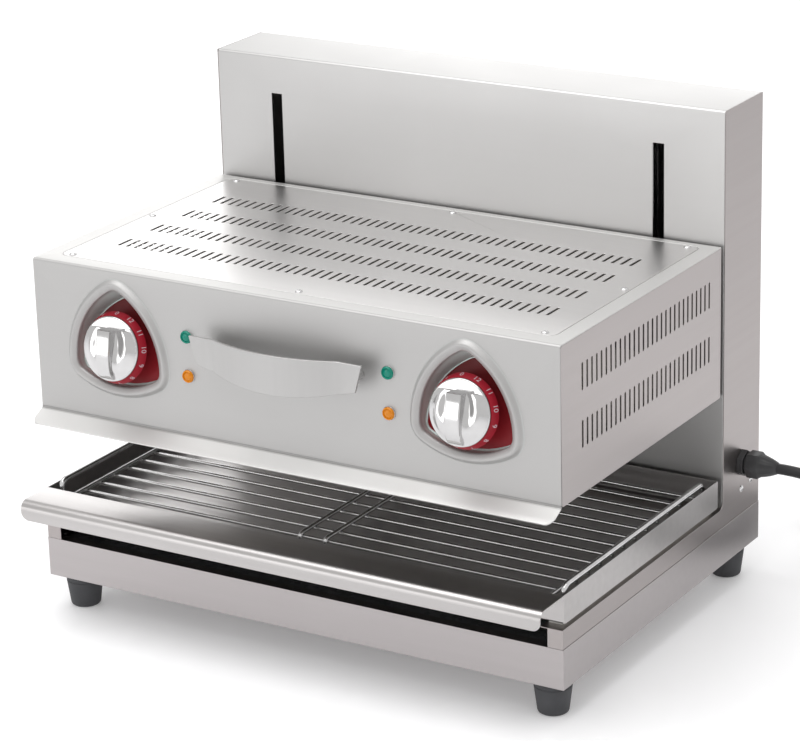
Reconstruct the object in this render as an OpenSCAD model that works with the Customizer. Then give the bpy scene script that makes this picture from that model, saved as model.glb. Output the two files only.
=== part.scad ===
// Electric lift salamander, also called a cheese melter.
// A heated head rides up and down a slotted rear column, hung on two guide rods and balanced by a
// counterweight. Below it a drip tray with a wire rack slides out of the base towards the user.
// X = 0 is the middle, Y = 0 the middle of the depth with -Y at the front, Z = 0 the worktop.

/* [Overall] */
// Width of the base and the column
body_w = 600; // [500:1:740]
// Height of the column's top above the worktop
total_h = 514; // [428:1:640]
// Depth of the base, from its front to the column's back
base_d = 426; // [355:1:520]
// Sheet steel of the housings
sheet = 1.2; // [0.8:0.1:1.5]

/* [Base] */
// Height of the lower box of the base
base_h = 41.5; // [34:0.5:50]
// Height of the side cheeks above the lower box
cheek_h = 20; // [16:0.5:25]
// Width of the cheek posts beside the front opening
post_w = 16.5; // [13:0.5:20]
// Width of the flange on top of each cheek
cheek_flange_w = 24; // [20:1:30]
// Radius of the corner between a cheek and the column's edge
cheek_fillet_r = 9; // [5:0.5:12]
// Step of the side panels in from the lower box
panel_inset = 0.5; // [0.2:0.1:1]
// Height of the rubber feet
foot_h = 36; // [30:1:44]
// Radius of a foot at its top
foot_top_r = 19.5; // [16:0.5:24]
// Radius of a foot at its bottom
foot_bottom_r = 15.5; // [13:0.5:19]
// Distance of a foot's axis from the sides of the base
foot_inset = 25; // [22:1:30]

/* [Column] */
// Depth of the column
column_d = 84; // [80:1:100]
// Distance of each lift slot from the middle
slot_x = 225.5; // [190:0.5:270]
// Width of a lift slot
slot_w = 12.5; // [10.5:0.5:15]
// Steel left above the lift slots
slot_drop = 41; // [34:1:49]

/* [Head] */
// Width of the head
head_w = 596; // [496:1:715]
// Height of the head
head_h = 158; // [140:1:190]
// Gap between the tray's rim and the lowered head
head_clear = 87.5; // [73:0.5:105]
// Step of the head's front behind the base's front
head_setback = 3; // [2:0.5:5]
// Gap between the head's back and the column
head_gap = 5.5; // [4:0.5:6.6]
// Reach of the lip below the front panel
lip_reach = 21; // [17:0.5:25]
// Drop of that lip
lip_fall = 10; // [8:0.5:12]
// Border of the top cover at the sides
cover_side = 18; // [15:0.5:21]
// Border of the top cover at the front
cover_front = 21; // [17:0.5:25]
// Border of the top cover at the back
cover_back = 9; // [7:0.5:11]
// Radius of the top cover's corners
cover_r = 9; // [7:0.5:11]
// Seam round the top cover
cover_seam = 0.6; // [0.4:0.1:0.8]

/* [Vents] */
// Rows of slots in the top cover
top_rows = 4; // [2:1:5]
// Pitch of the slots in a row
vent_pitch = 10; // [8.5:0.1:12]
// Length of a top slot
top_vent_l = 24; // [20:0.5:28.8]
// Width of every slot
vent_w = 3.2; // [2.6:0.1:3.9]
// Pitch of the top rows
row_pitch = 56; // [47:1:67]
// First row behind the front of the head
row_start = 84; // [70:1:90]
// Plain border beside the top slots
vent_margin = 53; // [44:1:63]
// Length of a side slot
side_vent_l = 27; // [22:0.5:32]
// Pitch of the side slots
side_pitch = 9.45; // [8:0.05:11.3]
// Distance of the first side slot behind the head's front
side_start = 42.5; // [36:0.5:50]
// Plain border behind the side slots
side_border = 24; // [20:1:29]
// Height of the lower row of side slots above the head's bottom
side_low = 45.5; // [38:0.5:54]
// Height of the upper row of side slots above the head's bottom
side_high = 102; // [85:0.5:115]

/* [Tray] */
// Height of the tray's walls
tray_h = 29.5; // [25:0.5:35]
// Sheet of the tray
tray_t = 1; // [0.8:0.1:1.2]
// Step of the tray's front wall behind the base's front
tray_setback = 4; // [3:0.5:5]
// Gap between the tray's back and the column
tray_gap = 11.5; // [9.5:0.5:14]
// Reach of the tray's lip before the base's front
lip_out = 42; // [35:1:50]
// Height of the lip's skirt
skirt_h = 19.5; // [16:0.5:23.5]
// Radius of the lip's nose
nose_r = 9; // [7:0.5:11]
// Thickness of the glide strips that carry the tray
glide_t = 4.2; // [3.5:0.1:5]

/* [Rack] */
// Diameter of the cross wires
wire_d = 4; // [3.3:0.1:4.8]
// Gaps between the cross wires, one fewer than the wires
wire_gaps = 12; // [10:1:14]
// Height of the wires' middle above the tray's underside
wire_rise = 15.5; // [13:0.5:18]
// Diameter of the bars on top of the wires
bar_d = 4.6; // [3.8:0.1:5.5]
// Distance of the inner bars from the middle
inner_bar_x = 14.7; // [12:0.1:18]
// Diameter of the raised side rails
rail_d = 6; // [5:0.1:7.2]
// Height of the rails' middle above the tray's rim
rail_rise = 3; // [2:0.5:5]

/* [Front] */
// Distance of the knobs from the middle
knob_x = 198.5; // [165:0.5:237]
// Height above the head's bottom at which a knob's axis meets the front panel
knob_rise = 79; // [75:0.5:85]
// Lean of the knobs and their dial plates, which face a little upwards
dial_tilt = 10; // [8:0.5:12]
// Height of the recesses' middle above the head's bottom
recess_rise = 82.5; // [75:0.5:90]
// Width of the rounded triangular recess
recess_w = 99; // [90:1:110]
// Radius of the recess's corners
recess_r = 12; // [10:0.5:14]
// Depth of the dial plate behind the front panel, along a knob's axis
recess_d = 14.5; // [13:0.5:16]
// Width of the rim round the recess
rim_w = 12; // [10:0.5:13]
// Height of the rim on the front panel
rim_h = 5; // [4:0.5:6]
// Diameter of the conical numbered skirt behind a knob, at its foot
skirt_d = 73; // [70:0.5:76]
// Length of that skirt along its axis
skirt_l = 8.5; // [7:0.5:10]
// Reach of the skirt's narrow end before the front panel, along its axis
skirt_out = 10.5; // [9:0.5:12]
// Diameter of a knob
knob_d = 65; // [54:0.5:67]
// Reach of a knob's grip before the front panel, along its axis
knob_out = 27; // [24:0.5:32]
// Width of the grip's front
grip_w = 16; // [13:0.5:19]
// Height of the grip's flat end above the knob's middle
grip_top = 20; // [17:0.5:23]
// Diameter of a regulator's shaft
shaft_d = 6; // [5:0.1:7]
// Distance of the lamps from the middle
lamp_x = 114.5; // [112:0.5:120]
// Height of the upper lamps above the head's bottom
lamp_high = 103; // [95:0.5:110]
// Height of the lower lamps above the head's bottom
lamp_low = 62.5; // [55:0.5:70]
// Diameter of a lamp's lens
lens_d = 12.5; // [10.5:0.5:15]
// Half length of the handle's top edge
handle_half = 98; // [90:1:104]
// Distance of the handle's bends from the middle
handle_bend = 70; // [60:1:78]
// Reach of the handle's tabs before the front panel
handle_tab = 21; // [17:0.5:25]
// Further bow of the handle's middle
handle_bow = 14; // [11:0.5:17]
// Height of the handle's top edge above the head's bottom
handle_top = 113; // [105:0.5:120]
// Height of the handle at its middle
handle_h = 40; // [34:0.5:46]
// Thickness of the handle strip
handle_t = 3; // [2.5:0.1:3.5]

/* [Heating] */
// Diameter of a heating element's tube
element_d = 8; // [6.5:0.1:9.6]
// Pitch of an element's runs
element_pitch = 46; // [40:1:50]
// Runs in an element, an even number
element_runs = 6; // [4:2:6]
// Width of the border round the heating opening
mouth_border = 28; // [24:1:33]
// Height of the reflector over the elements
reflector_h = 30; // [26:1:36]
// Thickness of the insulation on the reflector
insulation_t = 15; // [12:1:18]

/* [Lift gear] */
// Diameter of the guide rods
rod_d = 12; // [10:0.5:14]
// Distance of a guide rod inboard of its slot
rod_offset = 20.5; // [20:0.5:24]
// Distance of the guide rods behind the column's front
rod_back = 27; // [25:0.5:29]
// Radial running clearance of the bushes and pulleys
running_clear = 0.05; // [0.02:0.01:0.08]
// Width of an arm's rectangular tube
arm_w = 8; // [7:0.5:9]
// Height of an arm
arm_h = 70; // [58:1:80]
// Distance of the arms' top below the head's top
arm_drop = 41; // [35:1:49]
// Radius at which a rope runs on its pulley
rope_run_r = 18; // [16:0.5:19]
// Diameter of the ropes
rope_d = 3; // [2.5:0.1:3.5]
// Distance of the ropes from the middle
rope_x = 110; // [95:1:125]
// Height of the counterweight
weight_h = 150; // [125:1:160]
// Half width of the counterweight
weight_half = 150; // [130:1:165]
// Thickness of the counterweight
weight_t = 26; // [22:1:28]

/* [Mains lead] */
// Diameter of the rubber lead
lead_d = 11; // [10:0.5:12]
// Distance of the gland behind the column's front
gland_back = 42; // [38:0.5:46]
// Height of the gland above the worktop
gland_z = 134; // [130:0.5:140]
// Diameter of the coil, at the middle of its turns
coil_d = 121; // [110:1:132]

/* [Hidden] */
$fn = 48;
// Running gap between sliding and resting pieces
gap = 0.3;
// Overlap that welds one bar of the rack to another
weld = 0.2;
half_w = body_w / 2;
base_front = lip_out - (base_d + lip_out) / 2;
base_back = base_front + base_d;
base_top = foot_h + base_h;
cheek_top = base_top + cheek_h;
column_front = base_back - column_d;
panel_x = half_w - panel_inset;
inner_x = panel_x - sheet;
tray_z = cheek_top + glide_t + gap;
tray_top = tray_z + tray_h;
tray_x = half_w - 1;
tray_front = base_front + tray_setback;
tray_back = column_front - tray_gap;
lip_front = base_front - lip_out;
head_z = tray_top + head_clear;
head_top = head_z + head_h;
head_x = head_w / 2;
head_front = base_front + head_setback;
head_back = column_front - head_gap;
head_inner_x = head_x - sheet;
knob_z = head_z + knob_rise;
recess_z = head_z + recess_rise;
// Thickness of the dial plates, and a depth behind the front panel that clears them
dial_t = 1.5;
dial_room = 45;
cover_x = head_x - cover_side;
cover_y0 = head_front + cover_front;
cover_y1 = head_back - cover_back;
// Inside radius of the folds of the head's shell
shell_fold_r = 2;
// Crease pressed into the front just above the lip's fold: its foot, height and depth
crease_z = head_z + 0.2;
crease_h = 1.6;
crease_t = sheet / 2;
// Round-headed screws of the housings
screw_r = 2;
screw_head_r = 3.8;
screw_head_h = 1.8;
cover_screw_in = 6;
corner_screw_in = 12;
foot_screw_r = 3;
foot_recess = 13;
rear_screw_x = half_w - panel_inset - sheet - 5;
// Ends of the lift: the arms stop this far below the slots' top
stop_gap = 7;
slot_top = total_h - slot_drop;
arm_top = head_top - arm_drop;
arm_z = arm_top - arm_h;
lift = slot_top - arm_top - stop_gap;
rod_x = slot_x - rod_offset;
rod_y = column_front + rod_back;
rope_y = rod_y + 2 * rope_run_r;
pulley_y = rod_y + rope_run_r;
pulley_z = total_h - 32;
pulley_r = rope_run_r + 3;
pulley_w = 9;
axle_r = 4;
ferrule_h = 14;
ferrule_r = 4;
// The carriage's bearing blocks and crossbar
block_d = 28;
block_h = arm_h - 6;
block_z = arm_z + 3;
block_in_x = rod_x - 16;
block_out_x = slot_x - arm_w / 2;
bush_r = rod_d / 2 + 3;
bush_h = 20;
bar_h = 40;
bar_t = 6;
crossbar_z = block_z + (block_h - bar_h) / 2;
// Hanging rope between the counterweight's ferrules and the pulleys at rest
weight_rope = 18;
weight_top = pulley_z - pulley_r - weight_rope - ferrule_h;
weight_z = weight_top - weight_h;
clamp_h = 14;
// Wires of the rack
wire_z = tray_z + wire_rise;
rack_front = tray_front + 13.5;
rack_back = tray_back - 21;
wire_pitch = (rack_back - rack_front) / wire_gaps;
wire_half = tray_x - 19.5;
rail_x = tray_x - tray_t - rail_d / 2 - 3.5;
rail_z = tray_top + rail_rise;
outer_bar_x = wire_half - bar_d / 2;
bar_z = wire_z + wire_d / 2 + bar_d / 2 - weld;
// Heating parts
frame_top = head_z + sheet;
mouth_x = head_inner_x - mouth_border;
mouth_y0 = head_front + sheet + mouth_border;
mouth_y1 = head_back - sheet - mouth_border;
mouth_mid = (mouth_y0 + mouth_y1) / 2;
support_t = 2;
element_z = frame_top + support_t + element_d / 2 + 0.2;
reflector_t = 1;
reflector_in = 6;
reflector_top = frame_top + reflector_h;
element_in = 16;
element_bend_r = 12;
leg_top = reflector_top + insulation_t + 22;
// Gland and lead
gland_y = column_front + gland_back;
gland_thread_r = 10;
gland_hex_r = 14.5;
gland_cap_x = panel_x + 8.5;
gland_end = panel_x + 41;
gland_inner = inner_x - 10;
lead_r = lead_d / 2;
terminal_x = 140;
terminal_h = 18;
// Route of the lead's end inside the column, from the gland down to the terminals
inner_route = [
    [gland_inner, gland_y, gland_z], [268, gland_y, 134], [250, gland_y, 133.5],
    [232, gland_y - 0.5, 132.5], [215, gland_y - 1, 129], [201, gland_y - 2, 124],
    [189, rod_y + 11, 118], [180, rod_y + 9, 113], [173.5, rod_y + 7, 109.5],
    [terminal_x + 27.5, rod_y + 7, 109.5]
];
coil_lift = 1.4;
coil_centre = [415, 305];
// Route of the lead from the gland down to the worktop and into the coil
lead_route = [
    [gland_end, gland_y, gland_z], [353, 192, 134], [369, 192, 133], [385, 192, 130], [401, 192, 124],
    [416, 193, 114], [428, 195, 100], [437, 198, 84], [445, 203, 67], [453, 211, 50], [461, 222, 34],
    [468, 235, 20], [474, 251, 10], [478, 269, 6], [480, 286, 6.9]
];
// Route from the coil's end to the plug
tail_route = [[409, 371, 18], [391, 373.5, 18], [375, 375, 18.3], [355, 375, 18.3]];
plug_r = 18;
plug_l = 42;

// Unit vector along v
function unit(v) = v / norm(v);
// v turned a quarter turn to the left
function left_of(v) = [-v[1], v[0]];
// Positive where b turns left from a
function turn(a, b) = a[0] * b[1] - a[1] * b[0];

// The points of a folded line moved to its left by t, every stretch parallel to the first line
function shifted(pts, t) = [
    for (i = [0 : len(pts) - 1])
        let (
            a = unit(i == 0 ? pts[1] - pts[0] : pts[i] - pts[i - 1]),
            b = unit(i == len(pts) - 1 ? pts[i] - pts[i - 1] : pts[i + 1] - pts[i]),
            la = left_of(a),
            lb = left_of(b)
        )
        pts[i] + t * (la + lb) / (1 + la * lb)
];

// The same line with every corner rounded: radius r on the inside of a fold, r + t on its outside
function rounded_line(pts, radii, t, outer) = [
    for (i = [0 : len(pts) - 1])
        each (i == 0 || i == len(pts) - 1) ? [pts[i]] : fold_points(pts, i, radii[i - 1], t, outer)
];

function fold_points(pts, i, r, t, outer) =
    let (
        a = unit(pts[i] - pts[i - 1]),
        b = unit(pts[i + 1] - pts[i]),
        side = turn(a, b) > 0 ? 1 : -1,
        inside = (side * t > 0) == outer,
        fold_r = inside ? r : r + abs(t),
        angle = acos(min(1, max(-1, a * b))),
        start = pts[i] - a * fold_r * tan(angle / 2),
        centre = start + side * fold_r * left_of(a),
        steps = max(2, round(angle / 15))
    )
    [for (k = [0 : steps]) centre + turned(start - centre, side * angle * k / steps)];

function turned(v, angle) = [
    v[0] * cos(angle) - v[1] * sin(angle),
    v[0] * sin(angle) + v[1] * cos(angle)
];

function reversed(list) = [for (i = [len(list) - 1 : -1 : 0]) list[i]];

// Sheet of thickness t on the left of a folded line, with the inside radius of each fold
module folded(pts, radii, t) {
    near = rounded_line(pts, radii, t, false);
    far = rounded_line(shifted(pts, t), radii, t, true);
    polygon(concat(near, reversed(far)));
}

// A profile drawn in Y and Z, drawn out from x0 to x1
module across(x0, x1) {
    translate([x0, 0, 0]) rotate([90, 0, 90]) linear_extrude(x1 - x0) children();
}

// A profile drawn in X and Z, drawn out from y0 to y1
module along(y0, y1) {
    translate([0, y1, 0]) rotate([90, 0, 0]) linear_extrude(y1 - y0) children();
}

// A box given by its lowest and highest corners
module block(low, high) {
    translate(low) cube(high - low);
}

// A plate with rounded corners, in X and Y
module rounded_rectangle(x0, x1, y0, y1, r) {
    translate([x0 + r, y0]) square([x1 - x0 - 2 * r, y1 - y0]);
    translate([x0, y0 + r]) square([x1 - x0, y1 - y0 - 2 * r]);
    for (x = [x0 + r, x1 - r], y = [y0 + r, y1 - r]) translate([x, y]) circle(r);
}

// A flat bar with its four long corners cut at 45 degrees, for a slot that looks rounded
module slot_outline(w, l) {
    c = w * 0.3;
    polygon([
        [-w / 2, c - l / 2], [c - w / 2, -l / 2], [w / 2 - c, -l / 2], [w / 2, c - l / 2],
        [w / 2, l / 2 - c], [w / 2 - c, l / 2], [c - w / 2, l / 2], [-w / 2, l / 2 - c]
    ]);
}

// Round bar or hole along Y, from y0 to y1
module rod_y_axis(x, z, r, y0, y1) {
    translate([x, y1, z]) rotate([90, 0, 0]) cylinder(r = r, h = y1 - y0);
}

// Round bar or hole along X, from x0 to x1
module rod_x_axis(y, z, r, x0, x1) {
    translate([x0, y, z]) rotate([0, 90, 0]) cylinder(r = r, h = x1 - x0);
}

// Outline of constant width w with three corners of radius r, one of them pointing up
module tri_lobe(w, r) {
    w0 = w - 2 * r;
    corner = [for (k = [0 : 2]) w0 / sqrt(3) * [cos(90 + 120 * k), sin(90 + 120 * k)]];
    polygon([
        for (k = [0 : 2])
            let (a = 90 + 120 * k)
            each concat(
                [for (i = [0 : 4]) corner[k] + r * [cos(a - 30 + 15 * i), sin(a - 30 + 15 * i)]],
                [for (i = [1 : 7]) corner[(k + 2) % 3]
                    + (w0 + r) * [cos(a + 30 + 7.5 * i), sin(a + 30 + 7.5 * i)]]
            )
    ]);
}

// Low round-headed screw with its head's seat at z = 0 and its shank below
module screw(shank) {
    rotate_extrude() polygon([
        [0, -shank], [screw_r, -shank], [screw_r, 0], [screw_head_r, 0], [screw_head_r, screw_head_h * 0.4],
        [screw_head_r * 0.8, screw_head_h * 0.8], [screw_head_r * 0.4, screw_head_h], [0, screw_head_h]
    ]);
}

// Tube of radius r through hand-placed points, with flat ends square to its first and last stretch
module swept_tube(pts, r, sides) {
    last = len(pts) - 1;
    reference = unit([1, -1, 1]);
    rings = [
        for (i = [0 : last])
            let (
                t = unit(pts[min(i + 1, last)] - pts[max(i - 1, 0)]),
                a = unit(cross(t, reference)),
                b = cross(a, t)
            )
            for (k = [0 : sides - 1]) pts[i] + r * (a * cos(360 * k / sides) + b * sin(360 * k / sides))
    ];
    polyhedron(rings, concat(
        [[for (k = [0 : sides - 1]) k]],
        [[for (k = [sides - 1 : -1 : 0]) last * sides + k]],
        [for (i = [0 : last - 1], k = [0 : sides - 1])
            let (n = (k + 1) % sides)
            each [
                [i * sides + k, (i + 1) * sides + k, (i + 1) * sides + n],
                [i * sides + k, (i + 1) * sides + n, i * sides + n]
            ]]
    ));
}

// ---- Base ----

// Folded lower box, open at the top, with a narrow flange all round its rim
module base_tub() color("silver") {
    flange = 12;
    difference() {
        block([-half_w, base_front, foot_h], [half_w, base_back, base_top]);
        block([sheet - half_w, base_front + sheet, foot_h + sheet],
              [half_w - sheet, base_back - sheet, base_top - sheet]);
        block([flange - half_w, base_front + flange, base_top - 2 * sheet],
              [half_w - flange, base_back - flange, base_top + sheet]);
        for (p = foot_places()) translate([p[0], p[1], foot_h - sheet])
            cylinder(r = foot_screw_r, h = 3 * sheet);
    }
}

function foot_places() = [
    for (y = [base_front + foot_inset, base_back - foot_inset])
        for (x = [foot_inset - half_w, half_w - foot_inset])
        [x, y]
];

// Stiffening plate that closes the lower box under the tray
module base_floor_plate() color("dimgray") {
    in = 14;
    block([in - half_w, base_front + in, base_top - 3 * sheet],
          [half_w - in, column_front, base_top - 2 * sheet]);
    for (y = [base_front + in, column_front - sheet])
        block([in - half_w, y, foot_h + sheet], [half_w - in, y + sheet, base_top - 3 * sheet]);
}

// L-shaped side panel of cheek and column with its folded flanges, for the +X side
module side_panel() {
    flange = 11;
    across(panel_x - sheet, panel_x) {
        translate([base_front, base_top]) square([base_d, cheek_h]);
        translate([column_front, base_top]) square([column_d, total_h - base_top]);
        difference() {
            translate([column_front - cheek_fillet_r, cheek_top]) square(cheek_fillet_r);
            translate([column_front - cheek_fillet_r, cheek_top + cheek_fillet_r]) circle(cheek_fillet_r);
        }
    }
    block([panel_x - cheek_flange_w, base_front, cheek_top - sheet],
          [panel_x - sheet, column_front, cheek_top]);
    block([panel_x - post_w, base_front, base_top],
          [panel_x - sheet, base_front + sheet, cheek_top - sheet]);
    block([panel_x - flange, base_front + sheet, base_top],
          [panel_x - sheet, base_back - 2 * sheet, base_top + sheet]);
    block([panel_x - flange, base_back - 2 * sheet, base_top],
          [panel_x - sheet, base_back - sheet, total_h - sheet]);
}

module rear_screw_holes() {
    for (side = [-1, 1], z = rear_screw_heights())
        rod_y_axis(side * rear_screw_x, z, screw_r, base_back - 3 * sheet, base_back + sheet);
}

function rear_screw_heights() = [
    for (i = [0 : 3]) base_top + 22 + i * (total_h - base_top - 44) / 3
];

module side_panel_left() color("silver") {
    difference() {
        mirror([1, 0, 0]) side_panel();
        rear_screw_holes();
    }
}

module side_panel_right() color("silver") {
    difference() {
        side_panel();
        rear_screw_holes();
        rod_x_axis(gland_y, gland_z, gland_thread_r, inner_x - 1, panel_x + 1);
        for (p = bonding_places()) rod_x_axis(p[0], p[1], screw_r, inner_x - 1, panel_x + 1);
    }
}

function bonding_places() = [[gland_y, gland_z - 29], [gland_y + 22, gland_z - 26]];

// ---- Column ----

// Front and top of the column, one folded sheet with the two lift slots
module column_shell() color("silver") {
    difference() {
        across(-inner_x, inner_x) folded(
            [[base_back, total_h], [column_front, total_h], [column_front, base_top + sheet]], [2], sheet);
        for (side = [-1, 1])
            block([side * slot_x - slot_w / 2, column_front - 1, arm_z - 3],
                  [side * slot_x + slot_w / 2, column_front + sheet + 1, slot_top]);
    }
}

// Shelf inside the foot of the column, which carries the guide rods and the terminal block
module column_floor() color("gray") {
    block([-inner_x, column_front + sheet, cheek_top - sheet], [inner_x, base_back - 2 * sheet, cheek_top]);
}

module rear_cover() color("silver") {
    difference() {
        block([-inner_x, base_back - sheet, base_top], [inner_x, base_back, total_h - sheet]);
        rear_screw_holes();
    }
}

// Screws of the rear cover, and the two bonding screws below the gland
module panel_screws() color("lightgray") {
    for (side = [-1, 1], z = rear_screw_heights())
        translate([side * rear_screw_x, base_back, z]) rotate([-90, 0, 0]) screw(7);
    for (p = bonding_places()) translate([panel_x, p[0], p[1]]) rotate([0, 90, 0]) screw(9);
}

// ---- Feet ----

// Tapered rubber foot with a recess below for its screw's head
module rubber_foot(i) color("dimgray") {
    p = foot_places()[i];
    edge = 3;
    recess_r = 6.5;
    translate([p[0], p[1], 0]) rotate_extrude() polygon(concat(
        [[recess_r, 0]],
        [for (a = [0 : 30 : 90]) [foot_bottom_r - edge + edge * sin(a), edge - edge * cos(a)]],
        [[foot_top_r, foot_h - 5], [foot_top_r, foot_h], [foot_screw_r, foot_h], [foot_screw_r, foot_recess],
         [recess_r, foot_recess]]
    ));
}

module foot_front_left() { rubber_foot(0); }
module foot_front_right() { rubber_foot(1); }
module foot_rear_left() { rubber_foot(2); }
module foot_rear_right() { rubber_foot(3); }

module foot_screws() color("lightgray") {
    for (p = foot_places()) translate([p[0], p[1], foot_recess - 4]) {
        cylinder(r = 5.5, h = 4);
        cylinder(r = foot_screw_r, h = foot_h + sheet + 12 - foot_recess);
    }
}

module foot_nuts() color("lightgray") {
    for (p = foot_places()) translate([p[0], p[1], foot_h + sheet]) difference() {
        cylinder(r = 5.8, h = 5, $fn = 6);
        translate([0, 0, -1]) cylinder(r = foot_screw_r, h = 7);
    }
}

// Low-friction strips on the cheeks' flanges, which carry the tray
module tray_glides() color("whitesmoke") {
    for (side = [-1, 1])
        block([side > 0 ? panel_x - 21 : 7 - panel_x, base_front + 12, cheek_top],
              [side > 0 ? panel_x - 7 : 21 - panel_x, column_front - 15, cheek_top + glide_t]);
}

// ---- Lift gear inside the column ----

module guide_rods() color("lightgray") {
    for (side = [-1, 1]) translate([side * rod_x, rod_y, cheek_top])
        cylinder(r = rod_d / 2, h = total_h - sheet - cheek_top);
}

// Clamp blocks that hold the rods' ends to the shelf and to the column's top
module rod_clamps() color("gray") {
    for (side = [-1, 1], z = [cheek_top, total_h - sheet - clamp_h]) difference() {
        block([side * rod_x - 15, rod_y - 12, z], [side * rod_x + 15, rod_y + 12, z + clamp_h]);
        translate([side * rod_x, rod_y, z - 1]) cylinder(r = rod_d / 2, h = clamp_h + 2);
    }
}

// Two bearing blocks joined by a crossbar, with the ropes' ferrules on top
module lift_carriage() color("slategray") {
    difference() {
        union() {
            for (side = [-1, 1])
                block([side > 0 ? block_in_x : -block_out_x, rod_y - block_d / 2, block_z],
                      [side > 0 ? block_out_x : -block_in_x, rod_y + block_d / 2, block_z + block_h]);
            block([-block_in_x, rod_y - bar_t / 2, crossbar_z],
                  [block_in_x, rod_y + bar_t / 2, crossbar_z + bar_h]);
            for (side = [-1, 1]) translate([side * rope_x, rod_y, crossbar_z + bar_h])
                cylinder(r = ferrule_r, h = ferrule_h);
        }
        for (side = [-1, 1]) translate([side * rod_x, rod_y, block_z - 1])
            cylinder(r = bush_r, h = block_h + 2);
    }
}

// Bronze bushes at both ends of the bearing blocks, which run on the guide rods
module bushes() color("goldenrod") {
    for (side = [-1, 1], z = [block_z, block_z + block_h - bush_h])
        translate([side * rod_x, rod_y, z]) difference() {
            cylinder(r = bush_r, h = bush_h);
            translate([0, 0, -1]) cylinder(r = rod_d / 2 + running_clear, h = bush_h + 2);
        }
}

// Rectangular tube arms that pass through the slots, each welded to a flange inside the head's back
module lift_arms() color("slategray") {
    flange_t = 4;
    flange_half = 20;
    wall = 1.5;
    for (side = [-1, 1]) difference() {
        union() {
            block([side * slot_x - arm_w / 2, head_back - sheet - flange_t, arm_z],
                  [side * slot_x + arm_w / 2, rod_y + block_d / 2, arm_top]);
            block([side * slot_x - flange_half, head_back - sheet - flange_t, arm_z - 10],
                  [side * slot_x + flange_half, head_back - sheet, arm_top + 10]);
        }
        block([side * slot_x - arm_w / 2 + wall, head_back - sheet - flange_t - 1, arm_z + wall],
              [side * slot_x + arm_w / 2 - wall, rod_y + block_d / 2 + 1, arm_top - wall]);
    }
}

// Brackets that hang the pulleys from the column's top
module pulley_brackets() color("gray") {
    cheek_t = 2.5;
    inside = pulley_w / 2 + 0.5;
    for (side = [-1, 1]) translate([side * rope_x, 0, 0]) difference() {
        union() {
            for (s = [-1, 1])
                block([s > 0 ? inside : -inside - cheek_t, pulley_y - 10, pulley_z - 10],
                      [s > 0 ? inside + cheek_t : -inside, pulley_y + 10, total_h - sheet]);
            block([-inside, pulley_y - 10, total_h - sheet - 3], [inside, pulley_y + 10, total_h - sheet]);
        }
        rod_x_axis(pulley_y, pulley_z, axle_r, -20, 20);
    }
}

module pulley_axles() color("lightgray") {
    reach = pulley_w / 2 + 5;
    for (side = [-1, 1]) rod_x_axis(pulley_y, pulley_z, axle_r, side * rope_x - reach, side * rope_x + reach);
}

// Grooved pulley on its fixed axle
module pulley(side) color("tan") {
    groove_r = rope_run_r - rope_d / 2 - 0.4;
    bore_r = axle_r + running_clear;
    edge = 1.5;
    translate([side * rope_x - pulley_w / 2, pulley_y, pulley_z]) rotate([0, 90, 0])
        rotate_extrude() polygon([
            [bore_r, 0], [pulley_r, 0], [pulley_r, edge], [groove_r, pulley_w / 2 - edge],
            [groove_r, pulley_w / 2 + edge], [pulley_r, pulley_w - edge], [pulley_r, pulley_w],
            [bore_r, pulley_w]
        ]);
}

module pulley_left() { pulley(-1); }
module pulley_right() { pulley(1); }

// The half turn of each rope over its pulley
module rope_wraps() color("darkgray") {
    for (side = [-1, 1]) translate([side * rope_x, pulley_y, pulley_z]) rotate([90, 0, 90])
        rotate_extrude(angle = 180) translate([rope_run_r, 0]) circle(rope_d / 2);
}

// The straight run of each rope from the carriage up to its pulley
module head_ropes() color("darkgray") {
    low = crossbar_z + bar_h + ferrule_h;
    for (side = [-1, 1]) translate([side * rope_x, rod_y, low]) cylinder(r = rope_d / 2, h = pulley_z - low);
}

// The straight run of each rope from its pulley down to the counterweight
module weight_ropes() color("darkgray") {
    low = weight_top + ferrule_h;
    for (side = [-1, 1]) translate([side * rope_x, rope_y, low]) cylinder(r = rope_d / 2, h = pulley_z - low);
}

// Steel slab that balances the head, with the ropes' ferrules on top
module counterweight() color("dimgray") {
    block([-weight_half, rope_y - weight_t / 2, weight_z], [weight_half, rope_y + weight_t / 2, weight_top]);
    for (side = [-1, 1]) translate([side * rope_x, rope_y, weight_top])
        cylinder(r = ferrule_r, h = ferrule_h);
}

// ---- Mains inlet ----

// Row of terminals on the shelf
module terminal_block() color("ivory") {
    pitch = 11;
    for (i = [0 : 4]) translate([terminal_x + (i - 2.5) * pitch, rod_y - 15, cheek_top]) difference() {
        cube([pitch, 30, terminal_h]);
        translate([pitch / 2, 24, terminal_h / 2]) cylinder(r = 2.5, h = terminal_h);
    }
}

// Spiral lead that feeds the head and follows it up and down
module supply_lead() color("black") {
    low = cheek_top + terminal_h;
    translate([terminal_x, rod_y, low]) cylinder(r = 9, h = crossbar_z - low);
}

// Threaded body of the gland, with its collar outside the panel and its locknut inside
module gland_body() color("black") {
    difference() {
        union() {
            translate([panel_x, gland_y, gland_z]) rotate([0, 90, 0])
                cylinder(r = gland_hex_r, h = 7, $fn = 6);
            rod_x_axis(gland_y, gland_z, gland_thread_r, gland_inner, gland_cap_x + 14);
            translate([inner_x - 6, gland_y, gland_z]) rotate([0, 90, 0]) cylinder(r = 14, h = 6, $fn = 6);
        }
        rod_x_axis(gland_y, gland_z, lead_r + 0.5, gland_inner - 1, gland_cap_x + 15);
    }
}

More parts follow.
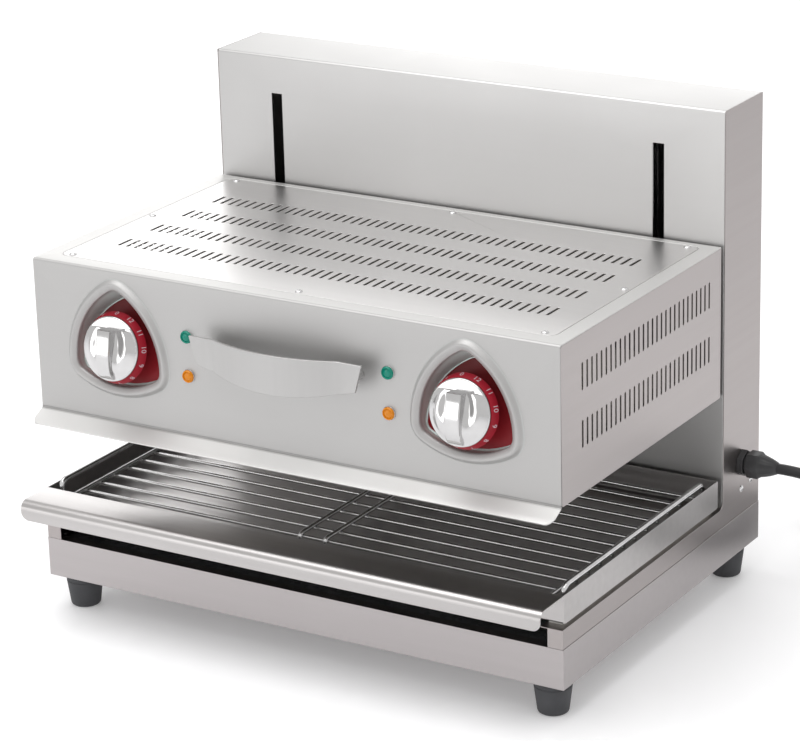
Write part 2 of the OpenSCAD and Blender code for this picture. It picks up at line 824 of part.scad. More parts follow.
// Domed nut that squeezes the seal round the lead
module gland_cap() color("black") {
    dome = gland_hex_r - 2;
    difference() {
        union() {
            translate([gland_cap_x, gland_y, gland_z]) rotate([0, 90, 0])
                cylinder(r = gland_hex_r, h = 14, $fn = 6);
            translate([gland_cap_x + 14, gland_y, gland_z]) rotate([0, 90, 0])
                rotate_extrude() polygon(concat(
                [[0, 0]],
                [for (a = [0 : 15 : 60]) [dome * cos(a), (gland_end - gland_cap_x - 14) * sin(a) / sin(60)]],
                [[0, gland_end - gland_cap_x - 14]]
            ));
        }
        rod_x_axis(gland_y, gland_z, gland_thread_r, gland_cap_x - 1, gland_cap_x + 14);
        rod_x_axis(gland_y, gland_z, lead_r, gland_cap_x - 1, gland_end + 1);
    }
}

module inner_lead() color("black") { swept_tube(inner_route, lead_r, 10); }
module mains_lead() color("black") { swept_tube(lead_route, lead_r, 10); }
module lead_tail() color("black") { swept_tube(tail_route, lead_r, 10); }

// The lead's coil as one solid ring, two turns wide and two high
module lead_coil() color("black") {
    translate([coil_centre[0], coil_centre[1], coil_lift]) rotate_extrude($fn = 96)
        translate([coil_d / 2 - lead_d, 0]) square([2 * lead_d, 2 * lead_d]);
}

// Band that holds the coil together, on its far side
module coil_tie() color("black") {
    half = lead_d + 0.6;
    thick = 1;
    translate([coil_centre[0] + coil_d / 2, coil_centre[1], 0]) difference() {
        block([-half - thick, -6, 0.1], [half + thick, 6, coil_lift + 2 * lead_d + 0.3 + thick]);
        block([-half, -7, coil_lift - 0.3], [half, 7, coil_lift + 2 * lead_d + 0.3]);
    }
}

// Straight round mains plug with two round pins
module plug() color("black") {
    end = tail_route[len(tail_route) - 1];
    translate([end[0], end[1], plug_r + 0.3]) rotate([0, -90, 0]) {
        rotate_extrude() polygon([
            [0, 0], [7, 0], [8.5, 16], [plug_r - 4, 20], [plug_r, 24], [plug_r, plug_l + 10], [0, plug_l + 10]
        ]);
        for (y = [-9.5, 9.5]) translate([0, y, plug_l + 10]) cylinder(r = 2.4, h = 19);
    }
}

// ---- Head ----

module head_sides() color("silver") {
    count = floor((head_back - head_front - side_start - side_border) / side_pitch);
    y0 = head_front + sheet;
    z1 = head_top - sheet;
    for (x = [-head_x, head_inner_x]) across(x, x + sheet) difference() {
        polygon([
            [y0, head_z + shell_fold_r], [y0 + shell_fold_r, head_z], [head_back, head_z], [head_back, z1],
            [y0 + shell_fold_r, z1], [y0, z1 - shell_fold_r]
        ]);
        for (i = [0 : count], z = [side_low, side_high])
            translate([head_front + side_start + i * side_pitch, head_z + z + side_vent_l / 2])
                slot_outline(vent_w, side_vent_l);
    }
}

module head_back_panel() color("silver") {
    difference() {
        block([-head_inner_x, head_back - sheet, head_z], [head_inner_x, head_back, head_top - sheet]);
        for (side = [-1, 1])
            block([side * slot_x - arm_w / 2 - gap, head_back - 2 * sheet, arm_z - gap],
                  [side * slot_x + arm_w / 2 + gap, head_back + sheet, arm_top + gap]);
    }
}

// Front and top of the head, one folded sheet: the lip that leans out below, the front with its recess
// openings, and the border round the top cover, with the ledge that the cover rests on
module head_shell() color("silver") {
    ledge = 13;
    s = cover_seam;
    difference() {
        union() {
            across(-head_x, head_x) folded([
                [head_back, head_top], [head_front, head_top], [head_front, head_z],
                [head_front - lip_reach, head_z - lip_fall]
            ], [shell_fold_r, shell_fold_r], sheet);
            block([-head_inner_x, head_front + sheet + shell_fold_r, head_top - 2 * sheet],
                  [head_inner_x, head_back - sheet, head_top - sheet]);
        }
        for (side = [-1, 1]) {
            lip_corner(side);
            along(head_front - 1, head_front + sheet + 1) translate([side * knob_x, recess_z])
                tri_lobe(recess_w + 3, recess_r + 1.5);
            for (z = [lamp_low, lamp_high])
                rod_y_axis(side * lamp_x, head_z + z, lens_d / 2 - 1, head_front - 1, head_front + sheet + 1);
        }
        block([-head_x - 1, head_front - 1, crease_z],
              [head_x + 1, head_front + crease_t, crease_z + crease_h]);
        translate([0, 0, head_top - sheet]) linear_extrude(2 * sheet)
            rounded_rectangle(-cover_x - s, cover_x + s, cover_y0 - s, cover_y1 + s, cover_r + s);
        block([ledge - cover_x, cover_y0 + ledge, head_top - 3 * sheet],
              [cover_x - ledge, cover_y1 - ledge, head_top]);
        cover_screw_holes();
    }
}

// Waste outside the rounded front corner of the head's lip
module lip_corner(side) {
    r = 10;
    x = side * (head_x - r);
    y = head_front - lip_reach + r;
    translate([0, 0, head_z - lip_fall - 5]) linear_extrude(lip_fall + 10) difference() {
        translate([side > 0 ? x : x - 2 * r, y - 2 * r]) square(2 * r);
        translate([x, y]) circle(r);
    }
}

function cover_screw_places() = [
    for (side = [-1, 1]) each [
        [side * (cover_x - corner_screw_in), cover_y0 + cover_screw_in],
        [side * (cover_x - corner_screw_in), cover_y1 - cover_screw_in],
        [side * (cover_x - cover_screw_in), (cover_y0 + cover_y1) / 2],
        [0, side > 0 ? cover_y0 + cover_screw_in : cover_y1 - cover_screw_in]
    ]
];

module cover_screw_holes() {
    for (p = cover_screw_places()) translate([p[0], p[1], head_top - 3 * sheet])
        cylinder(r = screw_r, h = 4 * sheet);
}

module top_cover() color("silver") {
    count = floor((head_w - 2 * vent_margin) / vent_pitch);
    difference() {
        translate([0, 0, head_top - sheet]) linear_extrude(sheet)
            rounded_rectangle(-cover_x, cover_x, cover_y0, cover_y1, cover_r);
        cover_screw_holes();
        translate([0, 0, head_top - 2 * sheet]) linear_extrude(3 * sheet)
            for (i = [0 : count], j = [0 : top_rows - 1])
                translate([(i - count / 2) * vent_pitch, head_front + row_start + j * row_pitch])
                    slot_outline(vent_w, top_vent_l);
    }
}

module top_screws() color("lightgray") {
    for (p = cover_screw_places()) translate([p[0], p[1], head_top]) screw(7);
}

// Frame round the heating opening under the head, with the flat bars that carry the elements
module head_bottom_frame() color("gray") {
    difference() {
        block([-head_inner_x, head_front + sheet, head_z], [head_inner_x, head_back - sheet, frame_top]);
        block([-mouth_x, mouth_y0, head_z - 1], [mouth_x, mouth_y1, frame_top + 1]);
    }
    for (x = [-0.78, -0.3, 0.3, 0.78])
        block([x * mouth_x - 6, mouth_y0 - 5, frame_top],
              [x * mouth_x + 6, mouth_y1 + 5, frame_top + support_t]);
}

// Polished hood over the elements
module reflector() color("lightgray") {
    e = reflector_in;
    difference() {
        block([-mouth_x - e, mouth_y0 - e, frame_top], [mouth_x + e, mouth_y1 + e, reflector_top]);
        block([reflector_t - mouth_x - e, mouth_y0 - e + reflector_t, frame_top - 1],
              [mouth_x + e - reflector_t, mouth_y1 + e - reflector_t, reflector_top - reflector_t]);
        element_leg_holes();
    }
}

// Straight ends of both elements, where they rise through the reflector and the insulation
module element_leg_holes() {
    span = (element_runs - 1) * element_pitch;
    for (side = [-1, 1], y = [-span / 2, span / 2])
        translate([side * (mouth_x - element_in), mouth_mid + y, frame_top])
            cylinder(r = element_d / 2 + 1, h = leg_top - frame_top);
}

module insulation() color("ivory") {
    difference() {
        block([-mouth_x, mouth_y0, reflector_top], [mouth_x, mouth_y1, reflector_top + insulation_t]);
        element_leg_holes();
    }
}

// Serpentine tubular element for the +X half, its ends turned up at the outer side
module heating_element() {
    r = element_d / 2;
    outer = mouth_x - element_in;
    run_outer = outer - element_bend_r;
    turn_outer = outer - element_pitch / 2;
    inner = element_in + element_pitch / 2;
    for (i = [0 : element_runs - 1]) {
        y = mouth_mid + (i - (element_runs - 1) / 2) * element_pitch;
        ends = i == 0 || i == element_runs - 1;
        rod_x_axis(y, element_z, r, inner, ends ? run_outer : turn_outer);
        if (ends) {
            translate([run_outer, y, element_z + element_bend_r]) rotate([90, 0, 0]) rotate([0, 0, -90])
                rotate_extrude(angle = 90) translate([element_bend_r, 0]) circle(r);
            translate([outer, y, element_z + element_bend_r])
                cylinder(r = r, h = leg_top - element_z - element_bend_r);
        }
        inward = i % 2 == 0;
        if (i < element_runs - 1)
            translate([inward ? inner : turn_outer, y + element_pitch / 2, element_z])
                rotate([0, 0, inward ? 90 : -90]) rotate_extrude(angle = 180)
                    translate([element_pitch / 2, 0]) circle(r);
    }
}

module element_left() color("saddlebrown") { mirror([1, 0, 0]) heating_element(); }
module element_right() color("saddlebrown") { heating_element(); }

// A knob's own place on the front panel, with -Y out along its axis
module dial_place(side) {
    translate([side * knob_x, head_front, knob_z]) rotate([-dial_tilt, 0, 0]) children();
}

// Raised rims of the knob recesses, each with a wall that runs back to its leaning dial plate
module recess_rims() color("silver") {
    for (side = [-1, 1]) {
        along(head_front - rim_h * 0.6, head_front) translate([side * knob_x, recess_z])
            recess_band(0, rim_w);
        along(head_front - rim_h, head_front - rim_h * 0.6) translate([side * knob_x, recess_z])
            recess_band(0.3 * rim_w, 0.75 * rim_w);
        difference() {
            along(head_front, head_front + dial_room) translate([side * knob_x, recess_z])
                recess_band(0, sheet);
            dial_place(side) block([-recess_w, recess_d, -recess_w], [recess_w, 2 * dial_room, recess_w]);
        }
    }
}

// Ring round the recess from one distance outside its edge to another
module recess_band(from, to) {
    difference() {
        tri_lobe(recess_w + 2 * to, recess_r + to);
        tri_lobe(recess_w + 2 * from, recess_r + from);
    }
}

// Plates that close the recesses, square to the knobs' axes
module dial_plates() color("darkred") {
    for (side = [-1, 1]) difference() {
        intersection() {
            along(head_front, head_front + dial_room) translate([side * knob_x, recess_z])
                tri_lobe(recess_w + 2 * sheet, recess_r + sheet);
            dial_place(side)
                block([-recess_w, recess_d, -recess_w], [recess_w, recess_d + dial_t, recess_w]);
        }
        dial_place(side) rod_y_axis(0, 0, shaft_d / 2 + 0.5, 0, recess_d + 2 * dial_t);
    }
}

// Energy regulators behind the dial plates
module regulators() color("ivory") {
    y0 = recess_d + dial_t;
    for (side = [-1, 1]) dial_place(side) difference() {
        union() {
            block([-22, y0, -22], [22, y0 + 36, 22]);
            for (x = [-14, 0, 14]) block([x - 3, y0 + 36, -10], [x + 3, y0 + 44, -9]);
        }
        rod_y_axis(0, 0, shaft_d / 2 + running_clear, y0 - 1, y0 + 15);
    }
}

// Indicator lamp with a domed lens in front and its holder behind the panel
module lamp(x, z) {
    translate([x, head_front, z]) rotate([90, 0, 0]) {
        rotate_extrude() polygon([
            [0, 0], [lens_d / 2, 0], [lens_d / 2, 1.6], [lens_d / 2 - 1, 3], [lens_d / 2 - 3, 3.9], [0, 4.2]
        ]);
        translate([0, 0, -24]) cylinder(r = lens_d / 2 - 1, h = 24);
    }
}

module lamps_green() color("teal") {
    for (side = [-1, 1]) lamp(side * lamp_x, head_z + lamp_high);
}

module lamps_orange() color("orange") {
    for (side = [-1, 1]) lamp(side * lamp_x, head_z + lamp_low);
}

// Bowed strip handle on two spacers
module handle() color("silver") {
    tab_y = head_front - handle_tab;
    bow_r = (pow(handle_bend, 2) + pow(handle_bow, 2)) / (2 * handle_bow);
    bow_y = tab_y - handle_bow + bow_r;
    reach = asin(handle_bend / bow_r);
    outer = [for (i = [-8 : 8]) [bow_r * sin(reach * i / 8), bow_y - bow_r * cos(reach * i / 8)]];
    top = head_z + handle_top;
    intersection() {
        translate([0, 0, top - handle_h - 1]) linear_extrude(handle_h + 2) polygon(concat(
            [[-handle_half, tab_y]], outer, [[handle_half, tab_y], [handle_half, tab_y + handle_t]],
            reversed([for (p = outer) [p[0], p[1] + handle_t]]), [[-handle_half, tab_y + handle_t]]
        ));
        along(head_front - 60, head_front) polygon(concat(
            [[handle_half, top], [-handle_half, top]],
            [for (i = [-10 : 10]) [i * 0.092 * handle_half, top - handle_h + 12 * pow(i / 10, 2)]]
        ));
    }
    for (side = [-1, 1])
        rod_y_axis(side * (handle_half + handle_bend) / 2, top - 16, 4, tab_y + handle_t, head_front);
}

// ---- Drip tray ----

// Open pan with a long front lip that ends in a rounded nose
module drip_tray() color("silver") {
    difference() {
        across(-tray_x, tray_x) folded([
            [tray_back, tray_top], [tray_back, tray_z], [tray_front, tray_z], [tray_front, tray_top - tray_t],
            [lip_front + tray_t, tray_top - tray_t], [lip_front + tray_t, tray_top - skirt_h]
        ], [2, 2, 1, nose_r - tray_t], -tray_t);
        for (side = [-1, 1]) skirt_corner(side);
    }
    for (side = [-1, 1])
        block([side > 0 ? tray_x - tray_t : -tray_x, tray_front, tray_z + 1],
              [side > 0 ? tray_x : tray_t - tray_x, tray_back, tray_top]);
    skid_x = panel_x - cheek_flange_w - 5;
    skid_t = 3;
    for (x = [-skid_x - skid_t, skid_x])
        block([x, tray_front + 20, tray_z - 8], [x + skid_t, tray_back - 20, tray_z]);
}

// Waste outside the rounded lower corner of the tray's lip
module skirt_corner(side) {
    r = 9;
    x = side * (tray_x - r);
    z = tray_top - skirt_h + r;
    along(lip_front - 1, tray_front - 1) difference() {
        translate([side > 0 ? x : x - 2 * r, z - 2 * r]) square(2 * r);
        translate([x, z]) circle(r);
    }
}

// ---- Rack ----

// Cross wires, of which the first and last reach out to the side rails
module rack_wires() color("lightgray") {
    for (i = [0 : wire_gaps]) {
        reach = i == 0 || i == wire_gaps ? rail_x - rail_d / 2 : wire_half;
        rod_x_axis(rack_front + i * wire_pitch, wire_z, wire_d / 2, -reach, reach);
    }
}

// Bars along the rack on top of its wires, and the raised side rails on their four legs
module rack_bars() color("lightgray") {
    hook_r = 4.5;
    hook_y = rack_front + wire_pitch;
    for (side = [-1, 1]) {
        rod_y_axis(side * outer_bar_x, bar_z, bar_d / 2, rack_front, rack_back);
        rod_y_axis(side * inner_bar_x, bar_z, bar_d / 2, hook_y, rack_back);
        translate([side * inner_bar_x, hook_y, bar_z - hook_r]) rotate([0, 0, 90]) rotate([90, 0, 0])
            rotate([0, 0, 90]) rotate_extrude(angle = 90) translate([hook_r, 0]) circle(bar_d / 2);
        side_rail(side);
    }
}

module side_rail(side) {
    r = rail_d / 2;
    bend_r = 8;
    foot_z = tray_z + tray_t + gap;
    rod_y_axis(side * rail_x, rail_z, r, rack_front + bend_r, rack_back - bend_r);
    for (end = [-1, 1]) {
        y = end > 0 ? rack_back : rack_front;
        translate([side * rail_x, y, foot_z]) cylinder(r = r, h = rail_z - bend_r - foot_z);
        translate([side * rail_x, y - end * bend_r, rail_z - bend_r]) rotate([90, 0, 90])
            rotate([0, 0, end > 0 ? 0 : 90]) rotate_extrude(angle = 90) translate([bend_r, 0]) circle(r);
    }
}

// ---- Knobs ----

// Chrome knob with its bar grip, its numbered skirt, and its hub and shaft behind
module knob(side) {
    r = knob_d / 2;
    skirt_step = 0.5;
    hub_r = 11;
    disc_t = 3;
    edge = 1.5;
    dome_top_r = 10;
    dome_out = disc_t + (knob_out - skirt_out - disc_t) * 0.6;
    dial_place(side) {
        color("firebrick") {
            rotate([90, 0, 0]) rotate_extrude() polygon([
                [0, skirt_out - skirt_l], [skirt_d / 2, skirt_out - skirt_l], [r + skirt_step, skirt_out],
                [0, skirt_out]
            ]);
            rod_y_axis(0, 0, hub_r, skirt_l - skirt_out, recess_d - 1);
        }
        color("lightgray") {
            translate([0, -skirt_out, 0]) rotate([90, 0, 0]) {
                rotate_extrude() polygon([
                    [0, 0], [r, 0], [r, disc_t - edge], [r - edge, disc_t], [0, disc_t]
                ]);
                intersection() {
                    rotate_extrude() polygon([
                        [0, 1], [r - edge, 1], [r - edge, disc_t], [dome_top_r, dome_out], [0, dome_out]
                    ]);
                    translate([-r, -r]) cube([2 * r, r + grip_top, dome_out + 1]);
                }
            }
            along(-knob_out, -skirt_out - 1) polygon([
                [-grip_w / 2, 5 - r], [3 - grip_w / 2, 2 - r], [grip_w / 2 - 3, 2 - r],
                [grip_w / 2, 5 - r], [grip_w / 2, grip_top], [-grip_w / 2, grip_top]
            ]);
            rod_y_axis(0, 0, shaft_d / 2, recess_d - 1, recess_d + 12);
        }
    }
}

module knob_left() { knob(-1); }
module knob_right() { knob(1); }

base_tub();
base_floor_plate();
side_panel_left();
side_panel_right();
column_shell();
column_floor();
rear_cover();
panel_screws();
foot_front_left();
foot_front_right();
foot_rear_left();
foot_rear_right();
foot_screws();
foot_nuts();
tray_glides();
guide_rods();
rod_clamps();
pulley_brackets();
pulley_axles();
pulley_left();
pulley_right();
rope_wraps();
head_ropes();
weight_ropes();
counterweight();
terminal_block();
gland_body();
gland_cap();
inner_lead();
supply_lead();
mains_lead();
lead_coil();
lead_tail();
coil_tie();
plug();
head_sides();
head_back_panel();
head_shell();
top_cover();
top_screws();
head_bottom_frame();
reflector();
insulation();
element_left();
element_right();
recess_rims();
dial_plates();
regulators();
lamps_green();
lamps_orange();
handle();
lift_carriage();
bushes();
lift_arms();
drip_tray();
rack_wires();
rack_bars();
knob_left();
knob_right();
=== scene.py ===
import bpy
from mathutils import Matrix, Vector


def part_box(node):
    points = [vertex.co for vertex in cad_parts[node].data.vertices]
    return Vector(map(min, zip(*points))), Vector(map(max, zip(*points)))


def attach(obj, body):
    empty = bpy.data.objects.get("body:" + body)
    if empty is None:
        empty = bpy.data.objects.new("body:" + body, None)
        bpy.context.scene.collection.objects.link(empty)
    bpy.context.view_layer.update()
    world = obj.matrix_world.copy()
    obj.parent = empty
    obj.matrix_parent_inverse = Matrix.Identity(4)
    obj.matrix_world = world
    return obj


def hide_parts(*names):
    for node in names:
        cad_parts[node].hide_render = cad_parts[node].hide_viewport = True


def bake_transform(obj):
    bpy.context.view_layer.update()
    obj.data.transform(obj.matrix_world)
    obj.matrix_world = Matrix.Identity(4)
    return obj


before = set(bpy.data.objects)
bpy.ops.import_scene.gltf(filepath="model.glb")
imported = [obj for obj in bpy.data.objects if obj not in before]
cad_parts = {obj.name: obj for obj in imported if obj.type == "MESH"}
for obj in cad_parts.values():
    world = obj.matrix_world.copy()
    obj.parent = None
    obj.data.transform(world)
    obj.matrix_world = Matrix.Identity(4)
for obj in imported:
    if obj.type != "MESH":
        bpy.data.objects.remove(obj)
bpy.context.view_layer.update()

import math

import bmesh
import bpy
from mathutils import Euler, Matrix, Vector

scene = bpy.context.scene
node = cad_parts
MM = 0.001


# ---- Camera ----
# A long lens in front of the right-hand corner, a little above the grill's head,
# so that the front, the top and the right side all show.
def linked(name, data):
    """A new object with this data, in the scene."""
    made = bpy.data.objects.new(name, data)
    scene.collection.objects.link(made)
    return made


camera_data = bpy.data.cameras.new("camera")
camera_data.sensor_width = 36
camera_data.lens = 144.32
camera_data.clip_end = 50
camera = linked("camera", camera_data)
camera.location = (1.6115, -2.5919, 1.3241)
camera.rotation_euler = Euler([math.radians(a) for a in (70.531, 1.492, 31.168)])
scene.camera = camera


# ---- Mains lead ----
# A round black lead of smooth extruded rubber leaves the gland, drops to the worktop in a loose
# curve and is wound into a coil of turns beside and on each other, tied once, with its plug.
def finish_of(name):
    """A new finish, with its node tree and its shader."""
    material = bpy.data.materials.new(name)
    material.use_nodes = True
    return material, material.node_tree, material.node_tree.nodes["Principled BSDF"]


def fill(made, **values):
    """Sets a node's inputs and properties by name, with _ for a space. A socket given is linked."""
    for key, value in values.items():
        name = key.replace("_", " ")
        if isinstance(value, bpy.types.NodeSocket):
            made.id_data.links.new(value, made.inputs[name])
        elif name in made.inputs:
            made.inputs[name].default_value = value
        else:
            setattr(made, key, value)
    return made


def add_node(tree, kind, **values):
    """A new node with its inputs and properties filled in."""
    return fill(tree.nodes.new(kind), **values)


def spread(tree, value, low, high, start=0.3, end=0.7):
    """Spreads a texture's middle values, start to end, over low to high."""
    made = add_node(tree, "ShaderNodeMapRange", Value=value, From_Min=start, From_Max=end, To_Min=low,
                    To_Max=high)
    return made.outputs["Result"]


def object_coords(tree):
    """Places on the object's own axes."""
    return add_node(tree, "ShaderNodeTexCoord").outputs["Object"]


def object_noise(tree, scale, detail=3, stretch=(1, 1, 1)):
    """Noise on the object's own coordinates, in features per metre, stretched along the axes."""
    mapping = add_node(tree, "ShaderNodeMapping", Vector=object_coords(tree), Scale=stretch)
    noise = add_node(tree, "ShaderNodeTexNoise", Vector=mapping.outputs["Vector"], Scale=scale,
                     Detail=detail)
    return noise.outputs["Fac"]


def tint(tree, value, dark, light):
    """A colour that runs from dark to light with the value."""
    mix = add_node(tree, "ShaderNodeMix", data_type="RGBA", Factor=value, A=(*dark, 1), B=(*light, 1))
    return mix.outputs["Result"]


def bump(tree, shader, height, distance):
    """Presses the height into the shader's normal, distance in metres."""
    pressed = add_node(tree, "ShaderNodeBump", Distance=distance, Height=height)
    fill(shader, Normal=pressed.outputs["Normal"])


def clouded(tree, shader, clouds, dark, light, rough_low, rough_high):
    """Runs the shader's colour from dark to light, and its roughness up, with the clouds."""
    fill(shader, Base_Color=tint(tree, spread(tree, clouds, 0, 1), dark, light),
         Roughness=spread(tree, clouds, rough_low, rough_high))


def moulded(name, dark, light, rough_low, rough_high, grain_height=0, scale=600, **sockets):
    """Moulded rubber, plastic or paint with a faint texture and slightly uneven gloss."""
    material, tree, shader = finish_of(name)
    clouded(tree, shader, object_noise(tree, 45), dark, light, rough_low, rough_high)
    if grain_height:
        bump(tree, shader, object_noise(tree, scale), grain_height)
    fill(shader, **sockets)
    return material


def paint(piece, finish):
    """Gives the piece this finish instead of those it has."""
    piece.data.materials.clear()
    piece.data.materials.append(finish)


def eased(value, start, end):
    """0 before start, 1 after end, and smooth between them."""
    t = min(1, max(0, (value - start) / (end - start)))
    return t * t * (3 - 2 * t)


def smooth_path(points, steps):
    """A line through the points that bends evenly between them."""
    line = []
    for i in range(len(points) - 1):
        before, a, b, after = (points[max(i - 1, 0)], points[i], points[i + 1],
                               points[min(i + 2, len(points) - 1)])
        for k in range(steps):
            t = k / steps
            line.append(0.5 * (2 * a + (b - before) * t + (2 * before - 5 * a + 4 * b - after) * t * t
                               + (3 * a - before - 3 * b + after) * t ** 3))
    return line + [points[-1]]


def around(radius, angle):
    """The two offsets of a place on a circle from its centre, the angle in radians."""
    return radius * math.cos(angle), radius * math.sin(angle)


def box_of(source):
    """The lowest corner, the centre and the highest corner of a CAD node."""
    low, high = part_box(source)
    return low, (low + high) / 2, high


LEAD_D = 11 * MM
gland_low, gland_centre, gland_high = box_of("gland_cap")
lead_exit = Vector((gland_high.x, gland_centre.y, gland_centre.z))
drop_points = [
    (353, 192, 134), (369, 192, 133), (385, 192, 130), (401, 192, 124), (416, 193, 114),
    (428, 195, 100), (437, 198, 84), (445, 203, 67), (453, 211, 50), (461, 222, 34),
    (468, 235, 20), (474, 251, 10), (478, 269, 6),
]
tail_points = [(391, 373.5, 18), (375, 375, 18.3), (355, 375, 18.3)]
coil_low, coil_centre, coil_high = box_of("lead_coil")
COIL_R = 60.5 * MM
COIL_START = math.radians(-16.3)
FIRST_TURNED, LAST_TURNED, TURNED_STEP = 4, 1190, 9
SHIFTS_AT, SHIFT_TURN = (300, 600, 900), 60
LOW, HIGH = coil_low.z + LEAD_D / 2, coil_high.z - LEAD_D / 2
INNER, OUTER = COIL_R - LEAD_D / 2, COIL_R + LEAD_D / 2


def coil_point(turned):
    """Place on the coil's centreline after it has turned by so many degrees."""
    inward, upward, outward = (eased(turned, at, at + SHIFT_TURN) for at in SHIFTS_AT)
    x, y = around(OUTER + (INNER - OUTER) * (inward - outward), COIL_START + math.radians(turned))
    return Vector((coil_centre.x + x, coil_centre.y + y, LOW + (HIGH - LOW) * upward))


lead_points = [lead_exit] + [Vector(p) * MM for p in drop_points]
lead_points += [coil_point(a) for a in range(FIRST_TURNED, LAST_TURNED, TURNED_STEP)]
lead_points += [Vector(p) * MM for p in tail_points]
lead_path = smooth_path(lead_points, steps=3)
lead_curve = bpy.data.curves.new("mains_lead_whole", "CURVE")
lead_curve.dimensions = "3D"
lead_curve.bevel_depth = LEAD_D / 2
lead_curve.bevel_resolution = 6
lead_curve.use_fill_caps = True
spline = lead_curve.splines.new("POLY")
spline.points.add(len(lead_path) - 1)
for point, place in zip(spline.points, lead_path):
    point.co = (*place, 1)
spline.use_smooth = True
lead = linked("mains_lead_whole", lead_curve)
lead_rubber = moulded("lead rubber", (0.012, 0.012, 0.013), (0.03, 0.03, 0.032), 0.38, 0.55, 2e-5, 900)
paint(lead, lead_rubber)
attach(lead, "housing")
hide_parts("mains_lead", "lead_coil", "lead_tail")
paint(node["inner_lead"], lead_rubber)


# ---- Plug and coil tie ----
# A straight round rubber plug moulded onto the lead, ribbed for the grip, with two round plated
# pins. A flat plastic band holds the coil together.
def turn(bm, profile, place, steps=48):
    """Adds a turned shape to bm. profile is (height, radius) in millimetres, round place's Z."""
    rings = []
    for height, radius in profile:
        count = steps if radius else 1
        ring = [(*around(radius * MM, math.tau * k / steps), height * MM) for k in range(count)]
        rings.append([bm.verts.new(place @ Vector(corner)) for corner in ring])
    for a, b in zip(rings, rings[1:]):
        for k in range(steps):
            corners = [a[k % len(a)], a[(k + 1) % len(a)], b[(k + 1) % len(b)], b[k % len(b)]]
            corners = list(dict.fromkeys(corners))
            if len(corners) > 2:
                bm.faces.new(corners)


def facing(place, direction):
    """The turn and shift that take local +Z to this direction at this place."""
    return Matrix.Translation(place) @ Vector(direction).to_track_quat("Z", "Y").to_matrix().to_4x4()


def ribbed(bm, rings, closed=True):
    """Joins rings of places by bands. The last ring joins the first, or both ends get a cap."""
    made = [[bm.verts.new(place) for place in ring] for ring in rings]
    for a, b in zip(made, made[1:] + made[:1] if closed else made[1:]):
        for k in range(len(a)):
            bm.faces.new([a[k], a[(k + 1) % len(a)], b[(k + 1) % len(b)], b[k]])
    if not closed:
        bm.faces.new(made[0][::-1])
        bm.faces.new(made[-1])


def smoothed(mesh, crease=32):
    """The mesh, smooth except at edges sharper than the crease in degrees."""
    mesh.shade_smooth()
    mesh.set_sharp_from_angle(angle=math.radians(crease))
    return mesh


def plain_mesh(bm, name):
    """The mesh of bm, which is then let go."""
    mesh = bpy.data.meshes.new(name)
    bm.to_mesh(mesh)
    bm.free()
    return mesh


def mesh_from(bm, name, crease=32):
    """The mesh of bm with its faces outward, smooth except at its creases."""
    bmesh.ops.recalc_face_normals(bm, faces=bm.faces)
    return smoothed(plain_mesh(bm, name), crease)


def fitted(name, mesh, finish, slot, body, *stands_for):
    """A piece with its finish, that rides on its body, if any, and stands for these CAD nodes."""
    piece = linked(name, mesh)
    paint(piece, finish)
    if body:
        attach(piece, body)
    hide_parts(*stands_for)
    return piece


JOIN_WITHIN, FLAT_TURN, SHARP_TURN = 2e-6, math.radians(0.5), math.radians(40)


def merged(source):
    """A copy of a CAD node's mesh with its loose triangles joined."""
    bm = bmesh.new()
    bm.from_mesh(node[source].data)
    bmesh.ops.remove_doubles(bm, verts=bm.verts, dist=JOIN_WITHIN)
    return bm


def softened(source, name, finish, slot, body, edge=0.45, round_steps=2):
    """A copy of a CAD node, its sharp edges rounded over by so many millimetres, that stands for it."""
    bm = merged(source)
    bmesh.ops.dissolve_limit(bm, angle_limit=FLAT_TURN, verts=bm.verts, edges=bm.edges)
    piece = fitted(name, smoothed(plain_mesh(bm, name)), finish, slot, body, source)
    rounding = piece.modifiers.new("rounded edges", "BEVEL")
    rounding.width = edge * MM
    rounding.segments = round_steps
    rounding.limit_method = "ANGLE"
    rounding.angle_limit = SHARP_TURN
    rounding.use_clamp_overlap = False
    rounding.harden_normals = True


plug_place = facing(Vector(tail_points[-1]) * MM, (-1, 0, 0))
bm = bmesh.new()
plug_profile = [(-2, 0), (-2, 5.9), (1, 7), (8, 7.6), (14, 8.6), (18, 11), (21, 14.6),
                (24, 16.6), (26, 17)]
for rib in range(4):
    start = 27 + rib * 4.2
    plug_profile += [(start, 17.9), (start + 2.2, 17.9), (start + 2.7, 16.9), (start + 3.7, 16.9)]
plug_profile += [(44.5, 18), (50.8, 18), (52, 17), (52, 0)]
turn(bm, plug_profile, plug_place)
plug_rubber = moulded("plug rubber", (0.014, 0.014, 0.015), (0.028, 0.028, 0.03), 0.45, 0.6, 3e-5, 1400)
fitted("plug_body", mesh_from(bm, "plug_body"), plug_rubber, "black_plastic", "housing", "plug")
bm = bmesh.new()
PIN_APART = 19 * MM
for side in (-0.5, 0.5):
    pin_place = plug_place @ Matrix.Translation((0, side * PIN_APART, 0))
    turn(bm, ((51, 0), (51, 2.4), (69.4, 2.4), (70.6, 1.7), (71, 0)), pin_place, steps=24)
pin_plate, tree, shader = finish_of("pin plating")
clouds = object_noise(tree, 300)
fill(shader, Base_Color=tint(tree, clouds, (0.66, 0.66, 0.66), (0.78, 0.78, 0.77)),
     Roughness=spread(tree, clouds, 0.14, 0.24), Metallic=1)
fitted("plug_pins", mesh_from(bm, "plug_pins"), pin_plate, "bright_steel", "housing", "plug")
tie_nylon = moulded("tie nylon", (0.02, 0.02, 0.022), (0.035, 0.035, 0.038), 0.35, 0.5, 2e-5, 2000)
softened("coil_tie", "coil_band", tie_nylon, "black_plastic", "housing", 0.35)


